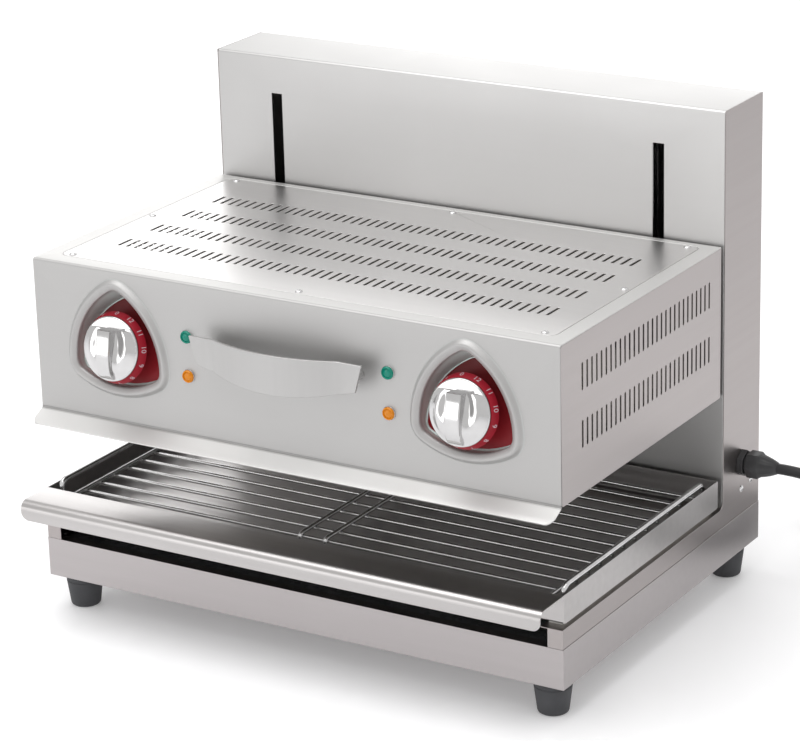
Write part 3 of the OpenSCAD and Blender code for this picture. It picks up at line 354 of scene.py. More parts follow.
# ---- Gland ----
# A black nylon cable gland: a hexagonal collar on the side panel, and a domed nut screwed onto it
# that squeezes a seal round the lead, with shallow flutes on the dome.
gland_nylon = moulded("gland nylon", (0.016, 0.016, 0.017), (0.035, 0.035, 0.037), 0.34, 0.48,
                      2e-5, 1600)
softened("gland_body", "gland_collar", gland_nylon, "black_plastic", "housing", 0.7)
GLAND_R, GLAND_STEPS, FLUTES, FLUTE_DEPTH, HEX_TURN = 14.5 * MM, 72, 18, 0.035, math.pi / 3
# Reach, share of the radius, and how far the outline there is a hexagon
gland_profile = [(0, 0.93, 1), (0.9, 1, 1), (12.4, 1, 1), (14, 0.95, 0.7), (16, 0.88, 0.35),
                 (20, 0.82, 0.12), (25, 0.7, 0.08), (29, 0.58, 0.05), (32, 0.47, 0), (32.4, 0.41, 0),
                 (31, 0.385, 0)]
gland_reach = (gland_high.x - gland_low.x) / max(reach for reach, share, hexed in gland_profile)
gland_rings = []
for reach, share, hexed in gland_profile:
    ring = []
    for k in range(GLAND_STEPS):
        angle = math.tau * k / GLAND_STEPS
        flat = math.cos(HEX_TURN / 2) / math.cos(angle % HEX_TURN - HEX_TURN / 2)
        flute = 1 - FLUTE_DEPTH * (1 - hexed) * (0.5 + 0.5 * math.cos(FLUTES * angle)) * (share > 0.5)
        y, z = around(GLAND_R * share * (hexed * flat + (1 - hexed) * 0.9 * flute), angle)
        ring.append(Vector((gland_low.x + gland_reach * reach, gland_centre.y + y, gland_centre.z + z)))
    gland_rings.append(ring)
bm = bmesh.new()
ribbed(bm, gland_rings)
gland_nut = mesh_from(bm, "gland_nut", 40)
fitted("gland_nut", gland_nut, gland_nylon, "black_plastic", "housing", "gland_cap")


# ---- Base ----
# The lower box of the base is folded from one sheet of satin stainless steel, welded and dressed at
# its corners. A dull galvanised plate stiffens it under the tray.
CLOUD_SCALE, STREAK_SCALE, GRAIN_SCALE, GRAIN_STRETCH = 7, 140, 1500, 0.02


def worked(tree, operation, first, second):
    """The sum or the difference of two values."""
    made = add_node(tree, "ShaderNodeMath", operation=operation)
    tree.links.new(first, made.inputs[0])
    tree.links.new(second, made.inputs[1])
    return made.outputs["Value"]


def satin_steel(name, dark, light, rough_low, rough_high, grain, grain_height=1.5e-6, metallic=1):
    """Stainless steel with a fine grain along one axis, and faint clouds where hands have been."""
    material, tree, shader = finish_of(name)
    along = [GRAIN_STRETCH if axis == grain else 1 for axis in "xyz"]
    clouds = object_noise(tree, CLOUD_SCALE, 4)
    mixed = worked(tree, "ADD", object_noise(tree, STREAK_SCALE, 4, along), clouds)
    streaks = spread(tree, mixed, 0, 1, 0.6, 1.4)
    fill(shader, Base_Color=tint(tree, streaks, dark, light),
         Roughness=spread(tree, clouds, rough_low, rough_high), Metallic=metallic)
    bump(tree, shader, object_noise(tree, GRAIN_SCALE, 2, along), grain_height)
    return material


base_steel = satin_steel("base steel", (0.4, 0.375, 0.375), (0.425, 0.4, 0.4), 0.3, 0.36, "x")
softened("base_tub", "base_box", base_steel, "stainless", "housing", 0.5, 3)
zinc, tree, shader = finish_of("zinc coating")
spangle = add_node(tree, "ShaderNodeTexVoronoi", Vector=object_coords(tree), Scale=160)
grey = add_node(tree, "ShaderNodeSeparateColor", Color=spangle.outputs["Color"])
fill(shader, Base_Color=tint(tree, grey.outputs["Red"], (0.36, 0.37, 0.38), (0.5, 0.51, 0.52)),
     Roughness=spread(tree, grey.outputs["Green"], 0.34, 0.5, 0, 1), Metallic=1)
softened("base_floor_plate", "stiffening_plate", zinc, "galvanised", "housing", 0.4)


# ---- Side panels ----
# Each side is one L-shaped sheet of stainless steel that covers the cheek of the base and the flank
# of the column, with its edges folded inward. Its grain runs from front to back.
# Painted shade: the side panels get a darker, warmer copy of the stainless than the front and the top.
side_steel = satin_steel("side steel", (0.36, 0.33, 0.325), (0.385, 0.355, 0.35), 0.3, 0.36, "y")
for side in ("left", "right"):
    softened("side_panel_" + side, side + "_side", side_steel, "stainless", "housing", 0.5, 3)


# ---- Column ----
# The front and top of the column are one folded sheet with two slots for the head's arms. The
# shelf inside is galvanised. The rear cover is a plain sheet, screwed on for service.
# How far painted light and shade cover a steel's own streaked colour.
PAINTED_LIGHT_SHARE = 0.75


def along_axis(tree, axis, start, end):
    """0 to 1 from start to end along one of the object's own axes."""
    parts = add_node(tree, "ShaderNodeSeparateXYZ", Vector=object_coords(tree))
    return spread(tree, parts.outputs[axis], 0, 1, start, end)


def toned(material, place, dark, light):
    """Paints light and shade into a steel's colour: blends it towards dark or light where place says,
    over its streaks.
    """
    tree, shader = material.node_tree, material.node_tree.nodes["Principled BSDF"]
    streaks = shader.inputs["Base Color"].links[0].from_socket
    mix = add_node(tree, "ShaderNodeMix", data_type="RGBA", Factor=PAINTED_LIGHT_SHARE, A=streaks,
                   B=tint(tree, place, dark, light))
    fill(shader, Base_Color=mix.outputs["Result"])


# Painted light and shade: the column and rear cover get a lighter copy of the stainless than the front,
# painted darker towards the left edge.
column_steel = satin_steel("column steel", (0.57, 0.565, 0.56), (0.6, 0.595, 0.59), 0.44, 0.5, "x")
toned(column_steel, along_axis(column_steel.node_tree, "X", -0.29, -0.05), (0.46, 0.455, 0.45),
      (0.61, 0.605, 0.6))
softened("column_shell", "column_front_and_top", column_steel, "stainless", "housing", 0.5, 3)
softened("rear_cover", "service_cover", column_steel, "stainless", "housing", 0.4)
softened("column_floor", "column_shelf", zinc, "galvanised", "housing", 0.4)


# ---- Feet ----
# Four tapered feet of charcoal rubber, moulded with a rounded sole and a shallow groove under the
# shoulder. A screw from below holds each one to a nut inside the base.
foot_rubber = moulded("foot rubber", (0.035, 0.036, 0.04), (0.06, 0.061, 0.066), 0.6, 0.75, 8e-5, 900)
foot_profile = [(13, 3.2), (13, 6.5), (1, 6.5), (0.4, 7.2), (0, 8), (0, 12.3), (0.5, 13.8), (1.4, 14.9),
                (2.8, 15.5), (27.4, 18.7), (28.1, 18.2), (29.4, 18.3), (30.2, 19.2), (31.4, 19.5),
                (35.2, 19.5), (36, 18.9), (36, 3.2), (13, 3.2)]
feet = ["foot_front_left", "foot_front_right", "foot_rear_left", "foot_rear_right"]
bm = bmesh.new()
for name in feet:
    low, centre, high = box_of(name)
    turn(bm, foot_profile, Matrix.Translation((centre.x, centre.y, 0)), steps=64)
bmesh.ops.remove_doubles(bm, verts=bm.verts, dist=1e-6)
fitted("rubber_feet", mesh_from(bm, "rubber_feet"), foot_rubber, "foot_rubber", "housing", *feet)


# ---- Screws ----
# Low round-headed screws with a cross recess, zinc plated bright. They hold the rear cover, the
# cover on top of the head, and the bonding wires below the gland. Hexagon nuts hold the feet.
def bright_metal(name, dark, light, rough_low, rough_high, scale):
    """Plated or polished metal, with faint clouds in its gloss."""
    material, tree, shader = finish_of(name)
    clouded(tree, shader, object_noise(tree, scale), dark, light, rough_low, rough_high)
    fill(shader, Metallic=1)
    return material


def growth_tree(name, **kinds):
    """A node group with these inputs and a finish, the inputs' sockets, and their identifiers."""
    tree = bpy.data.node_groups.new(name, "GeometryNodeTree")
    identifiers = {key: tree.interface.new_socket(
        key.replace("_", " "), in_out="INPUT", socket_type="NodeSocket" + kind).identifier
        for key, kind in {**kinds, "Finish": "Material"}.items()}
    tree.interface.new_socket("Made", in_out="OUTPUT", socket_type="NodeSocketGeometry")
    return tree, add_node(tree, "NodeGroupInput").outputs, identifiers


def end_growth(tree, given, geometry):
    """The end of a node group: its copies are made real and get the finish."""
    real = add_node(tree, "GeometryNodeRealizeInstances", Geometry=geometry)
    coated = add_node(tree, "GeometryNodeSetMaterial", Geometry=real.outputs["Geometry"],
                      Material=given["Finish"])
    add_node(tree, "NodeGroupOutput", Made=coated.outputs["Geometry"])


def evaluated_mesh(source):
    """The plain mesh that an object comes to. The object itself goes."""
    bpy.context.view_layer.update()
    mesh = bpy.data.meshes.new_from_object(source.evaluated_get(bpy.context.evaluated_depsgraph_get()))
    source.modifiers.clear()
    bpy.data.objects.remove(source)
    return mesh


def grown(name, base_mesh, growth, crease=32, **values):
    """The mesh that a node group makes from the base mesh with these values for its inputs."""
    tree, given, identifiers = growth
    source = linked(name + "_source", base_mesh)
    growing = source.modifiers.new("growth", "NODES")
    growing.node_group = tree
    for key, value in values.items():
        growing[identifiers[key]] = value
    mesh = evaluated_mesh(source)
    mesh.name = name
    return smoothed(mesh, crease)


def islands(source):
    """What box_of gives, for each separate solid of a CAD node."""
    bm = merged(source)
    left, found = set(bm.verts), []
    while left:
        stack, group = [left.pop()], []
        while stack:
            corner = stack.pop()
            group.append(corner.co.copy())
            others = {edge.other_vert(corner) for edge in corner.link_edges} & left
            left -= others
            stack += others
        low, high = (Vector([limit(co[i] for co in group) for i in range(3)]) for limit in (min, max))
        found.append((low, (low + high) / 2, high))
    bm.free()
    return sorted(found, key=lambda box: tuple(box[1]))


screw_growth = growth_tree("screw heads", Places="Geometry", Head_Radius="Float",
                           Head_Height="Float", Slot_Width="Float")
tree, given = screw_growth[:2]
head_r, head_h, slot_w = given["Head Radius"], given["Head Height"], given["Slot Width"]
dome = add_node(tree, "GeometryNodeMeshUVSphere", Segments=24, Rings=12, Radius=1)
head_size = add_node(tree, "ShaderNodeCombineXYZ", X=head_r, Y=head_r, Z=head_h)
head = add_node(tree, "GeometryNodeTransform", Geometry=dome.outputs["Mesh"],
                Scale=head_size.outputs["Vector"])
recess = add_node(tree, "GeometryNodeJoinGeometry")
lift = add_node(tree, "ShaderNodeCombineXYZ", Z=head_h)
for long_axis, short_axis in ("XY", "YX"):
    bar_size = add_node(tree, "ShaderNodeCombineXYZ", Z=head_h,
                        **{long_axis: head_r, short_axis: slot_w})
    bar = add_node(tree, "GeometryNodeMeshCube", Size=bar_size.outputs["Vector"])
    lifted = add_node(tree, "GeometryNodeTransform", Geometry=bar.outputs["Mesh"],
                      Translation=lift.outputs["Vector"])
    fill(recess, Geometry=lifted.outputs["Geometry"])
cut = add_node(tree, "GeometryNodeMeshBoolean", operation="DIFFERENCE", Mesh_1=head.outputs["Geometry"],
               Mesh_2=recess.outputs["Geometry"])
outward = add_node(tree, "GeometryNodeInputNamedAttribute", data_type="FLOAT_VECTOR", Name="outward")
aimed = add_node(tree, "FunctionNodeAlignRotationToVector", axis="Z",
                 Vector=outward.outputs["Attribute"])
placed = add_node(tree, "GeometryNodeInstanceOnPoints", Points=given["Places"],
                  Instance=cut.outputs["Mesh"], Rotation=aimed.outputs["Rotation"])
end_growth(tree, given, placed.outputs["Instances"])
screw_plating = bright_metal("screw plating", (0.6, 0.6, 0.6), (0.72, 0.72, 0.72), 0.16, 0.28, 400)
SCREW_R, SCREW_H, SCREW_SLOT = 3.8 * MM, 1.8 * MM, 0.8 * MM


def screws_on(name, source, body, axes):
    """Screw heads on the solids of a CAD node, each along its solid's longest one of these axes."""
    places, directions = [], []
    for low, centre, high in islands(source):
        axis = max(axes, key=lambda i: high[i] - low[i])
        centre[axis] = high[axis] - SCREW_H
        places.append(centre)
        directions += [float(i == axis) for i in range(3)]
    points = bpy.data.meshes.new(name + "_places")
    points.from_pydata(places, [], [])
    points.attributes.new("outward", "FLOAT_VECTOR", "POINT").data.foreach_set("vector", directions)
    mesh = grown(name, points, screw_growth, Head_Radius=SCREW_R, Head_Height=SCREW_H,
                 Slot_Width=SCREW_SLOT, Finish=screw_plating)
    fitted(name, mesh, screw_plating, "bright_steel", body, source)


screws_on("panel_screw_heads", "panel_screws", "housing", (0, 1))
screws_on("cover_screw_heads", "top_screws", "head", (2,))
for name in ("foot_screws", "foot_nuts"):
    paint(node[name], screw_plating)


# ---- Lift gear ----
# The head hangs on two ground steel rods by four bronze bushes in a welded carriage. Two wire ropes
# run from the carriage over nylon pulleys to a cast iron counterweight painted black.
ground_steel = bright_metal("ground steel", (0.62, 0.62, 0.62), (0.7, 0.7, 0.7), 0.1, 0.18, 200)
bronze = bright_metal("bush bronze", (0.5, 0.32, 0.14), (0.62, 0.42, 0.2), 0.3, 0.42, 300)
black_paint = moulded("weight paint", (0.02, 0.02, 0.02), (0.04, 0.04, 0.04), 0.5, 0.62, 6e-5, 500)
white_nylon = moulded("white nylon", (0.7, 0.69, 0.65), (0.78, 0.77, 0.73), 0.4, 0.52, 1e-5, 900)
rope_strand, tree, shader = finish_of("rope strand")
lay = add_node(tree, "ShaderNodeTexWave", bands_direction="DIAGONAL", Vector=object_coords(tree),
               Scale=260, Distortion=0.4).outputs["Fac"]
fill(shader, Base_Color=tint(tree, lay, (0.2, 0.2, 0.2), (0.5, 0.5, 0.5)),
     Roughness=spread(tree, lay, 0.5, 0.3, 0, 1), Metallic=1)
bump(tree, shader, lay, 2e-4)
for names, finish in (
        (("guide_rods", "pulley_axles"), ground_steel),
        (("bushes",), bronze),
        (("counterweight",), black_paint),
        (("tray_glides", "pulley_left", "pulley_right", "terminal_block", "regulators"), white_nylon),
        (("rope_wraps",), rope_strand),
        (("rod_clamps", "pulley_brackets"), zinc)):
    for name in names:
        paint(node[name], finish)
STRANDS, STRAND_TURN, STRAND_STEPS, STRAND_SIDES = 6, 24 * MM, 90, 8


def straight_ropes(name, source):
    """Strands round a core for each straight run."""
    bm = bmesh.new()
    for low, centre, high in islands(source):
        run, strand_r = high.z - low.z, (high.x - low.x) / 6      # three strands across
        for strand in range(STRANDS + 1):
            off = 0 if strand == STRANDS else 2 * strand_r
            rings = []
            for k in range(STRAND_STEPS + 1):
                rise = run * k / STRAND_STEPS
                x, y = around(off, math.tau * (strand / STRANDS + rise / STRAND_TURN))
                middle = Vector((centre.x + x, centre.y + y, low.z + rise))
                rings.append([middle + Vector((*around(strand_r, math.tau * j / STRAND_SIDES), 0))
                              for j in range(STRAND_SIDES)])
            ribbed(bm, rings, closed=False)
    ropes = fitted(name, mesh_from(bm, name, 60), rope_strand, "wire_rope", None, source)
    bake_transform(ropes)


straight_ropes("head_side_ropes", "head_ropes")
straight_ropes("weight_side_ropes", "weight_ropes")
softened("lift_carriage", "carriage", zinc, "galvanised", "head", 0.8, 3)
softened("lift_arms", "head_arms", zinc, "galvanised", "head", 0.5)


# ---- Supply lead ----
# The head is fed by a black lead wound into a close spiral that stretches as the head rises. It
# stands on the terminals and ends at the carriage's crossbar.
low, centre, high = box_of("supply_lead")
SPIRAL_R, SPIRAL_WIRE, SPIRAL_TURNS = 6.2 * MM, 2.6 * MM, 12.0
spiral_growth = growth_tree("spiral lead", Turns="Float", Radius="Float", Height="Float",
                            Wire_Radius="Float", Foot="Vector")
tree, given = spiral_growth[:2]
helix = add_node(tree, "GeometryNodeCurveSpiral", Resolution=20, Rotations=given["Turns"],
                 Start_Radius=given["Radius"], End_Radius=given["Radius"], Height=given["Height"])
ring = add_node(tree, "GeometryNodeCurvePrimitiveCircle", Resolution=12, Radius=given["Wire Radius"])
tube = add_node(tree, "GeometryNodeCurveToMesh", Curve=helix.outputs["Curve"],
                Profile_Curve=ring.outputs["Curve"], Fill_Caps=True)
stood = add_node(tree, "GeometryNodeTransform", Geometry=tube.outputs["Mesh"],
                 Translation=given["Foot"])
end_growth(tree, given, stood.outputs["Geometry"])
mesh = grown("spiral_lead", bpy.data.meshes.new("spiral_start"), spiral_growth, Turns=SPIRAL_TURNS,
             Radius=SPIRAL_R, Height=high.z - low.z - 2 * SPIRAL_WIRE,
             Wire_Radius=SPIRAL_WIRE, Finish=lead_rubber,
             Foot=(centre.x, centre.y, low.z + SPIRAL_WIRE))
spiral = fitted("spiral_lead", mesh, lead_rubber, "lead_rubber", None, "supply_lead")
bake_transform(spiral)


# ---- Head casing ----
# The head's front, its lip and its top border are one folded sheet, with side walls and a back
# behind it. All are satin stainless steel, the sides with two rows of cut slots.
FRONT_Y = -189 * MM


def off_plane(tree, axis, place):
    """0 on a sheet that lies at this place along the axis, and 1 from a few millimetres off it."""
    before = along_axis(tree, axis, place - 2.5 * MM, place - MM)
    behind = along_axis(tree, axis, place + 2 * MM, place + 4 * MM)
    return spread(tree, worked(tree, "SUBTRACT", before, behind), 1, 0, 0, 1)


front_steel = satin_steel("front steel", (0.44, 0.435, 0.43), (0.46, 0.455, 0.45), 0.46, 0.5, "x",
                          metallic=0.8)
# Painted sheen: the lip and the top border, off the front's plane, are painted lighter than the front
# itself.
toned(front_steel, off_plane(front_steel.node_tree, "Y", FRONT_Y), (0.45, 0.445, 0.44),
      (0.69, 0.685, 0.675))
# Painted shade: the head's sides, back and bottom frame get a darker, warmer copy of the stainless than
# the front.
flank_steel = satin_steel("flank steel", (0.395, 0.365, 0.36), (0.42, 0.39, 0.385), 0.33, 0.38, "y")
softened("head_shell", "head_front", front_steel, "stainless", "head", 0.5, 3)
softened("head_sides", "head_flanks", flank_steel, "stainless", "head", 0.35)
softened("head_back_panel", "head_back", flank_steel, "stainless", "head", 0.4)


# ---- Top cover ----
# A flat cover with rounded corners lies in the border of the head and is held by eight screws.
# Four rows of slots let the heat out.
# Painted sheen: the top cover gets a much lighter copy of the stainless than the front and the sides.
cover_steel = satin_steel("cover steel", (0.68, 0.67, 0.665), (0.71, 0.7, 0.695), 0.34, 0.4, "x")
softened("top_cover", "slotted_cover", cover_steel, "stainless", "head", 0.35)


# ---- Heating parts ----
# A steel frame and a polished hood hold two serpentine elements whose sheaths have gone dark with
# heat. White mineral wool lies on the hood.
softened("head_bottom_frame", "mouth_frame", flank_steel, "stainless", "head", 0.4)
hood_steel = satin_steel("hood steel", (0.6, 0.58, 0.54), (0.68, 0.66, 0.62), 0.12, 0.2, "x")
softened("reflector", "hood", hood_steel, "stainless", "head", 0.4)
sheath, tree, shader = finish_of("oxidised sheath")
clouded(tree, shader, object_noise(tree, 60, 5), (0.1, 0.085, 0.08), (0.24, 0.2, 0.17), 0.38, 0.6)
fill(shader, Metallic=0.7)
bump(tree, shader, object_noise(tree, 900), 2e-5)
wool, tree, shader = finish_of("mineral wool")
fibres = object_noise(tree, 500, 5, (1, 0.2, 1))
clouded(tree, shader, fibres, (0.6, 0.57, 0.48), (0.82, 0.8, 0.72), 0.9, 1)
bump(tree, shader, fibres, 8e-4)
for side in ("left", "right"):
    source, name = "element_" + side, side + "_element"
    fitted(name, mesh_from(merged(source), name, 50), sheath, "element_sheath", "head", source)
paint(node["insulation"], wool)


# ---- Knob recesses ----
# Each knob sits in a recess shaped like a rounded triangle. A pressed ring of steel stands proud of
# the front round it. Its wall runs back, drawn in at the top, to a narrow flange that holds a
# leaning dial plate of dark red enamel.
def rounded_triangle(width, corner_r, corner_steps=14, side_steps=30):
    """Places round a triangle of constant width, one corner up, in the front's plane."""
    inner = width - 2 * corner_r
    corners = [around(inner / math.sqrt(3), math.radians(90 + 120 * k)) for k in range(3)]
    places = []
    for k, corner in enumerate(corners):
        toward = 90 + 120 * k
        arcs = ((corner, corner_r, toward - 30, corner_steps),
                (corners[k - 1], inner + corner_r, toward + 30, side_steps))
        for centre, reach, start, steps in arcs:
            for i in range(steps):
                x, z = around(reach, math.radians(start + 60 * i / steps))
                places.append((centre[0] + x, centre[1] + z))
    return places


RECESS_W, RECESS_R, RECESS_D, RIM_W, RIM_H = 99, 12, 14.5, 12, 5
PLATE_T, PLATE_SHARE, SHAFT_HOLE_R = 1.5, 0.87, 3.5
KNOB_X, KNOB_Z, RECESS_Z = 198.5 * MM, 298 * MM, 301.5 * MM
DIAL_TILT = math.radians(10)


def dial_place(side):
    """A knob's place on the front, with -Y out along its axis, which points slightly up."""
    return Matrix.Translation((side * KNOB_X, FRONT_Y, KNOB_Z)) @ Matrix.Rotation(-DIAL_TILT, 4, "X")


def recess_ring(side, outside, height):
    """A closed ring round one recess, so far outside its edge and so high above the front."""
    return [Vector((side * KNOB_X + x * MM, FRONT_Y - height * MM, RECESS_Z + z * MM))
            for x, z in rounded_triangle(RECESS_W + 2 * outside, RECESS_R + outside)]


def plate_ring(side, outside, depth):
    """A ring where the leaning plate meets the wall, so far outside its edge and so deep."""
    outline = rounded_triangle(RECESS_W + 2 * outside, RECESS_R + outside)
    foot = min(z for x, z in outline)
    ring = []
    for x, z in outline:
        rise = RECESS_Z - KNOB_Z + (foot + (z - foot) * PLATE_SHARE) * MM
        back = (depth * MM + rise * math.sin(DIAL_TILT)) / math.cos(DIAL_TILT)
        ring.append(Vector((side * KNOB_X + x * MM, FRONT_Y + back, KNOB_Z + rise)))
    return ring


EDGE_W, EDGE_H, RIM_STEPS = 1.1, 2.6, 14
WALL_STEPS = (0.02, 0.1, 0.3, 0.5, 0.7, 0.9)
FLANGE = ((-1.2, 0.2), (-1.2, -0.5), (-1, -0.8), (-0.2, -0.8))
rim_profile = [(0, -0.3), (0.12, 0.8), (0.55, 2)]
for i in range(RIM_STEPS + 1):
    t = i / RIM_STEPS
    if t < 0.5:
        height = EDGE_H + (RIM_H - EDGE_H) * math.sin(t * math.pi * 0.9)
    else:
        height = RIM_H * (0.5 + 0.5 * math.cos((t - 0.5) * math.tau)) ** 0.85
    rim_profile.append((EDGE_W + (RIM_W - EDGE_W) * t, height))
rim_profile.append((1.2, -0.02))
bm = bmesh.new()
for side in (-1, 1):
    opening, seat = recess_ring(side, 0, -0.3), plate_ring(side, 0, RECESS_D - 0.8)
    rings = [plate_ring(side, outside, RECESS_D + depth) for outside, depth in FLANGE]
    rings += [[low.lerp(high, t) for low, high in zip(seat, opening)] for t in WALL_STEPS]
    rings += [recess_ring(side, outside, height) for outside, height in rim_profile]
    ribbed(bm, rings + [plate_ring(side, 1.2, RECESS_D + 0.2)])
rim_steel, tree, shader = finish_of("rim steel")
# Painted sheen: the recess's wall and flange are painted lighter than the ring's crest in front of
# them.
inward = along_axis(tree, "Y", FRONT_Y - MM, FRONT_Y + 4 * MM)
fill(shader, Base_Color=tint(tree, inward, (0.42, 0.415, 0.41), (0.68, 0.76, 0.74)),
     Roughness=spread(tree, object_noise(tree, STREAK_SCALE, 4), 0.4, 0.48), Metallic=0.5)
bump(tree, shader, object_noise(tree, GRAIN_SCALE, 2), 1e-6)
fitted("recess_rings", mesh_from(bm, "recess_rings", 50), rim_steel, "stainless", "head", "recess_rims")
enamel, tree, shader = finish_of("dark red enamel")
# Painted shade: the dial plate's red is painted darker towards its top, inside the recess.
upward = along_axis(tree, "Z", KNOB_Z - 0.03, KNOB_Z + 0.05)
fill(shader, Base_Color=tint(tree, upward, (0.26, 0.007, 0.013), (0.13, 0.012, 0.014)),
     Roughness=spread(tree, object_noise(tree, 120), 0.4, 0.5), Specular_IOR_Level=0.25)
bm = bmesh.new()
for side in (-1, 1):
    place, back = dial_place(side), RECESS_D + PLATE_T
    edge = [place.inverted() @ at for at in plate_ring(side, 0.8, RECESS_D)]
    hole = [at * (SHAFT_HOLE_R * MM / math.hypot(at.x, at.z)) for at in edge]
    ribbed(bm, [[place @ Vector((at.x, depth * MM, at.z)) for at in ring]
                for ring, depth in ((edge, RECESS_D), (edge, back), (hole, back), (hole, RECESS_D))])
fitted("red_dial_plates", mesh_from(bm, "red_dial_plates"), enamel, "red_enamel", "head", "dial_plates")


# ---- Knobs ----
# Each knob is a chromed grip on a conical skirt of bright red plastic, which carries the scale. The
# grip is a low dome cut flat above, with a broad bar across it and a finger scoop on each side of it.
KNOB_R, DISC_T, GRIP_OUT, BAR_HALF, FLAT_Z = 32.5, 3, 16.5, 8, 20
SKIRT_OUT, SKIRT_FOOT, SKIRT_FRONT_R, SKIRT_FOOT_R = 10.5, 2, 33, 36.5
SCOOP_X, SCOOP_W, SCOOP_L, SCOOP_TOP, SCOOP_FLOOR = 12.5, 11.5, 42, 17, 3
SKIRT_HOLE_OUT, DISC_TOP_R, GRIP_EDGE = -13.5, 31.8, 1.1
GRID_R, SIDE_CELLS, BAR_CELLS, ROWS, KNOB_STEPS = KNOB_R - 1, 34, 10, 64, 120
chrome = bright_metal("knob chrome", (0.56, 0.555, 0.555), (0.6, 0.595, 0.595), 0.08, 0.12, 90)
skirt_red = moulded("skirt red", (0.26, 0.004, 0.014), (0.3, 0.006, 0.018), 0.4, 0.5,
                    Specular_IOR_Level=0.25)
number_ink = moulded("number ink", (0.5, 0.42, 0.46), (0.57, 0.49, 0.53), 0.4, 0.5)


def grip_height(x, z):
    """Height of the dome above the disc in millimetres, with its flat cut and two scoops."""
    if z > FLAT_Z + 0.01:
        return -2
    share = min(1, (x * x + z * z) / KNOB_R ** 2)
    dome_height = (GRIP_OUT - DISC_T) * (1 - share) ** 1.5 - 0.25
    if abs(x) >= BAR_HALF - 0.01:
        q = ((abs(x) - SCOOP_X) / SCOOP_W) ** 2 + (min(0, z - SCOOP_TOP) / SCOOP_L) ** 2
        if q < 1:
            return min(dome_height, dome_height * q + SCOOP_FLOOR * (1 - q))
    return dome_height


def grid_lines():
    """Places of the grid's lines along one axis, closer at the bar's sides."""
    side = [BAR_HALF + (GRID_R - BAR_HALF) * i / SIDE_CELLS for i in range(SIDE_CELLS + 1)]
    middle = [-BAR_HALF + 2 * BAR_HALF * i / BAR_CELLS for i in range(1, BAR_CELLS)]
    return [-x for x in reversed(side)] + middle + side


def add_disc_and_dome(bm):
    """The knob's round disc, and on it the dome with its scoops, as a closed grid."""
    turn(bm, ((0, 0), (0, DISC_TOP_R), (0.25, 32.3), (0.7, KNOB_R), (1.7, KNOB_R), (2.3, 32.3),
              (2.8, DISC_TOP_R), (DISC_T, 31.2), (DISC_T, 30.8), (DISC_T, 0)),
         facing((0, -SKIRT_OUT * MM, 0), (0, -1, 0)), KNOB_STEPS)
    lines = grid_lines()
    rows = [-GRID_R + (GRID_R + FLAT_Z) * i / ROWS for i in range(ROWS + 1)]
    rows += [FLAT_Z + 0.02, FLAT_Z + 1]
    front, back = {}, {}
    for i, x in enumerate(lines):
        for j, z in enumerate(rows):
            out = SKIRT_OUT + DISC_T + grip_height(x, z)
            front[i, j] = bm.verts.new((x * MM, -out * MM, z * MM))
            back[i, j] = bm.verts.new((x * MM, -(SKIRT_OUT + 0.5) * MM, z * MM))
    cells = [(i, j) for i in range(len(lines) - 1) for j in range(len(rows) - 1)
             if max(abs(lines[i]), abs(lines[i + 1])) ** 2 + max(abs(rows[j]), abs(rows[j + 1])) ** 2
             < (GRID_R + 0.1) ** 2]
    for i, j in cells:
        bm.faces.new([front[i, j], front[i + 1, j], front[i + 1, j + 1], front[i, j + 1]])
        bm.faces.new([back[i, j], back[i, j + 1], back[i + 1, j + 1], back[i + 1, j]])
    kept = set(cells)
    for i, j in cells:
        for di, dj, a, b in ((-1, 0, (i, j), (i, j + 1)), (1, 0, (i + 1, j + 1), (i + 1, j)),
                             (0, -1, (i + 1, j), (i, j)), (0, 1, (i, j + 1), (i + 1, j + 1))):
            if (i + di, j + dj) not in kept:
                bm.faces.new([front[a], front[b], back[b], back[a]])
    bmesh.ops.delete(bm, geom=[v for v in bm.verts if not v.link_faces], context="VERTS")


def add_bar(bm):
    """The broad bar across the dome: its side outline, through its rounded flanks."""
    low_z, bend_z, low_out, bend_steps = 2.5 - KNOB_R, -4, DISC_T - 0.4, 16
    outline = [(low_z, 0.5)]
    for i in range(bend_steps + 1):
        a = math.pi / 2 * i / bend_steps
        outline.append((bend_z - (bend_z - low_z) * math.cos(a),
                        low_out + (GRIP_OUT - low_out) * math.sin(a)))
    outline += [(FLAT_Z - 1.2, GRIP_OUT), (FLAT_Z - 0.35, GRIP_OUT - 0.35), (FLAT_Z, GRIP_OUT - 1.2),
                (FLAT_Z, 0.5)]
    ribs = [(-BAR_HALF, 1), (-BAR_HALF + 0.35 * GRIP_EDGE, 0.3), (-BAR_HALF + GRIP_EDGE, 0),
            (-BAR_HALF + 1.4 * GRIP_EDGE, 0)]
    ribs += [(-x, inset) for x, inset in reversed(ribs)]
    ribbed(bm, [[Vector((x, -(SKIRT_OUT + max(height - inset * GRIP_EDGE, 0.5)), z)) * MM
                 for z, height in outline] for x, inset in ribs], closed=False)


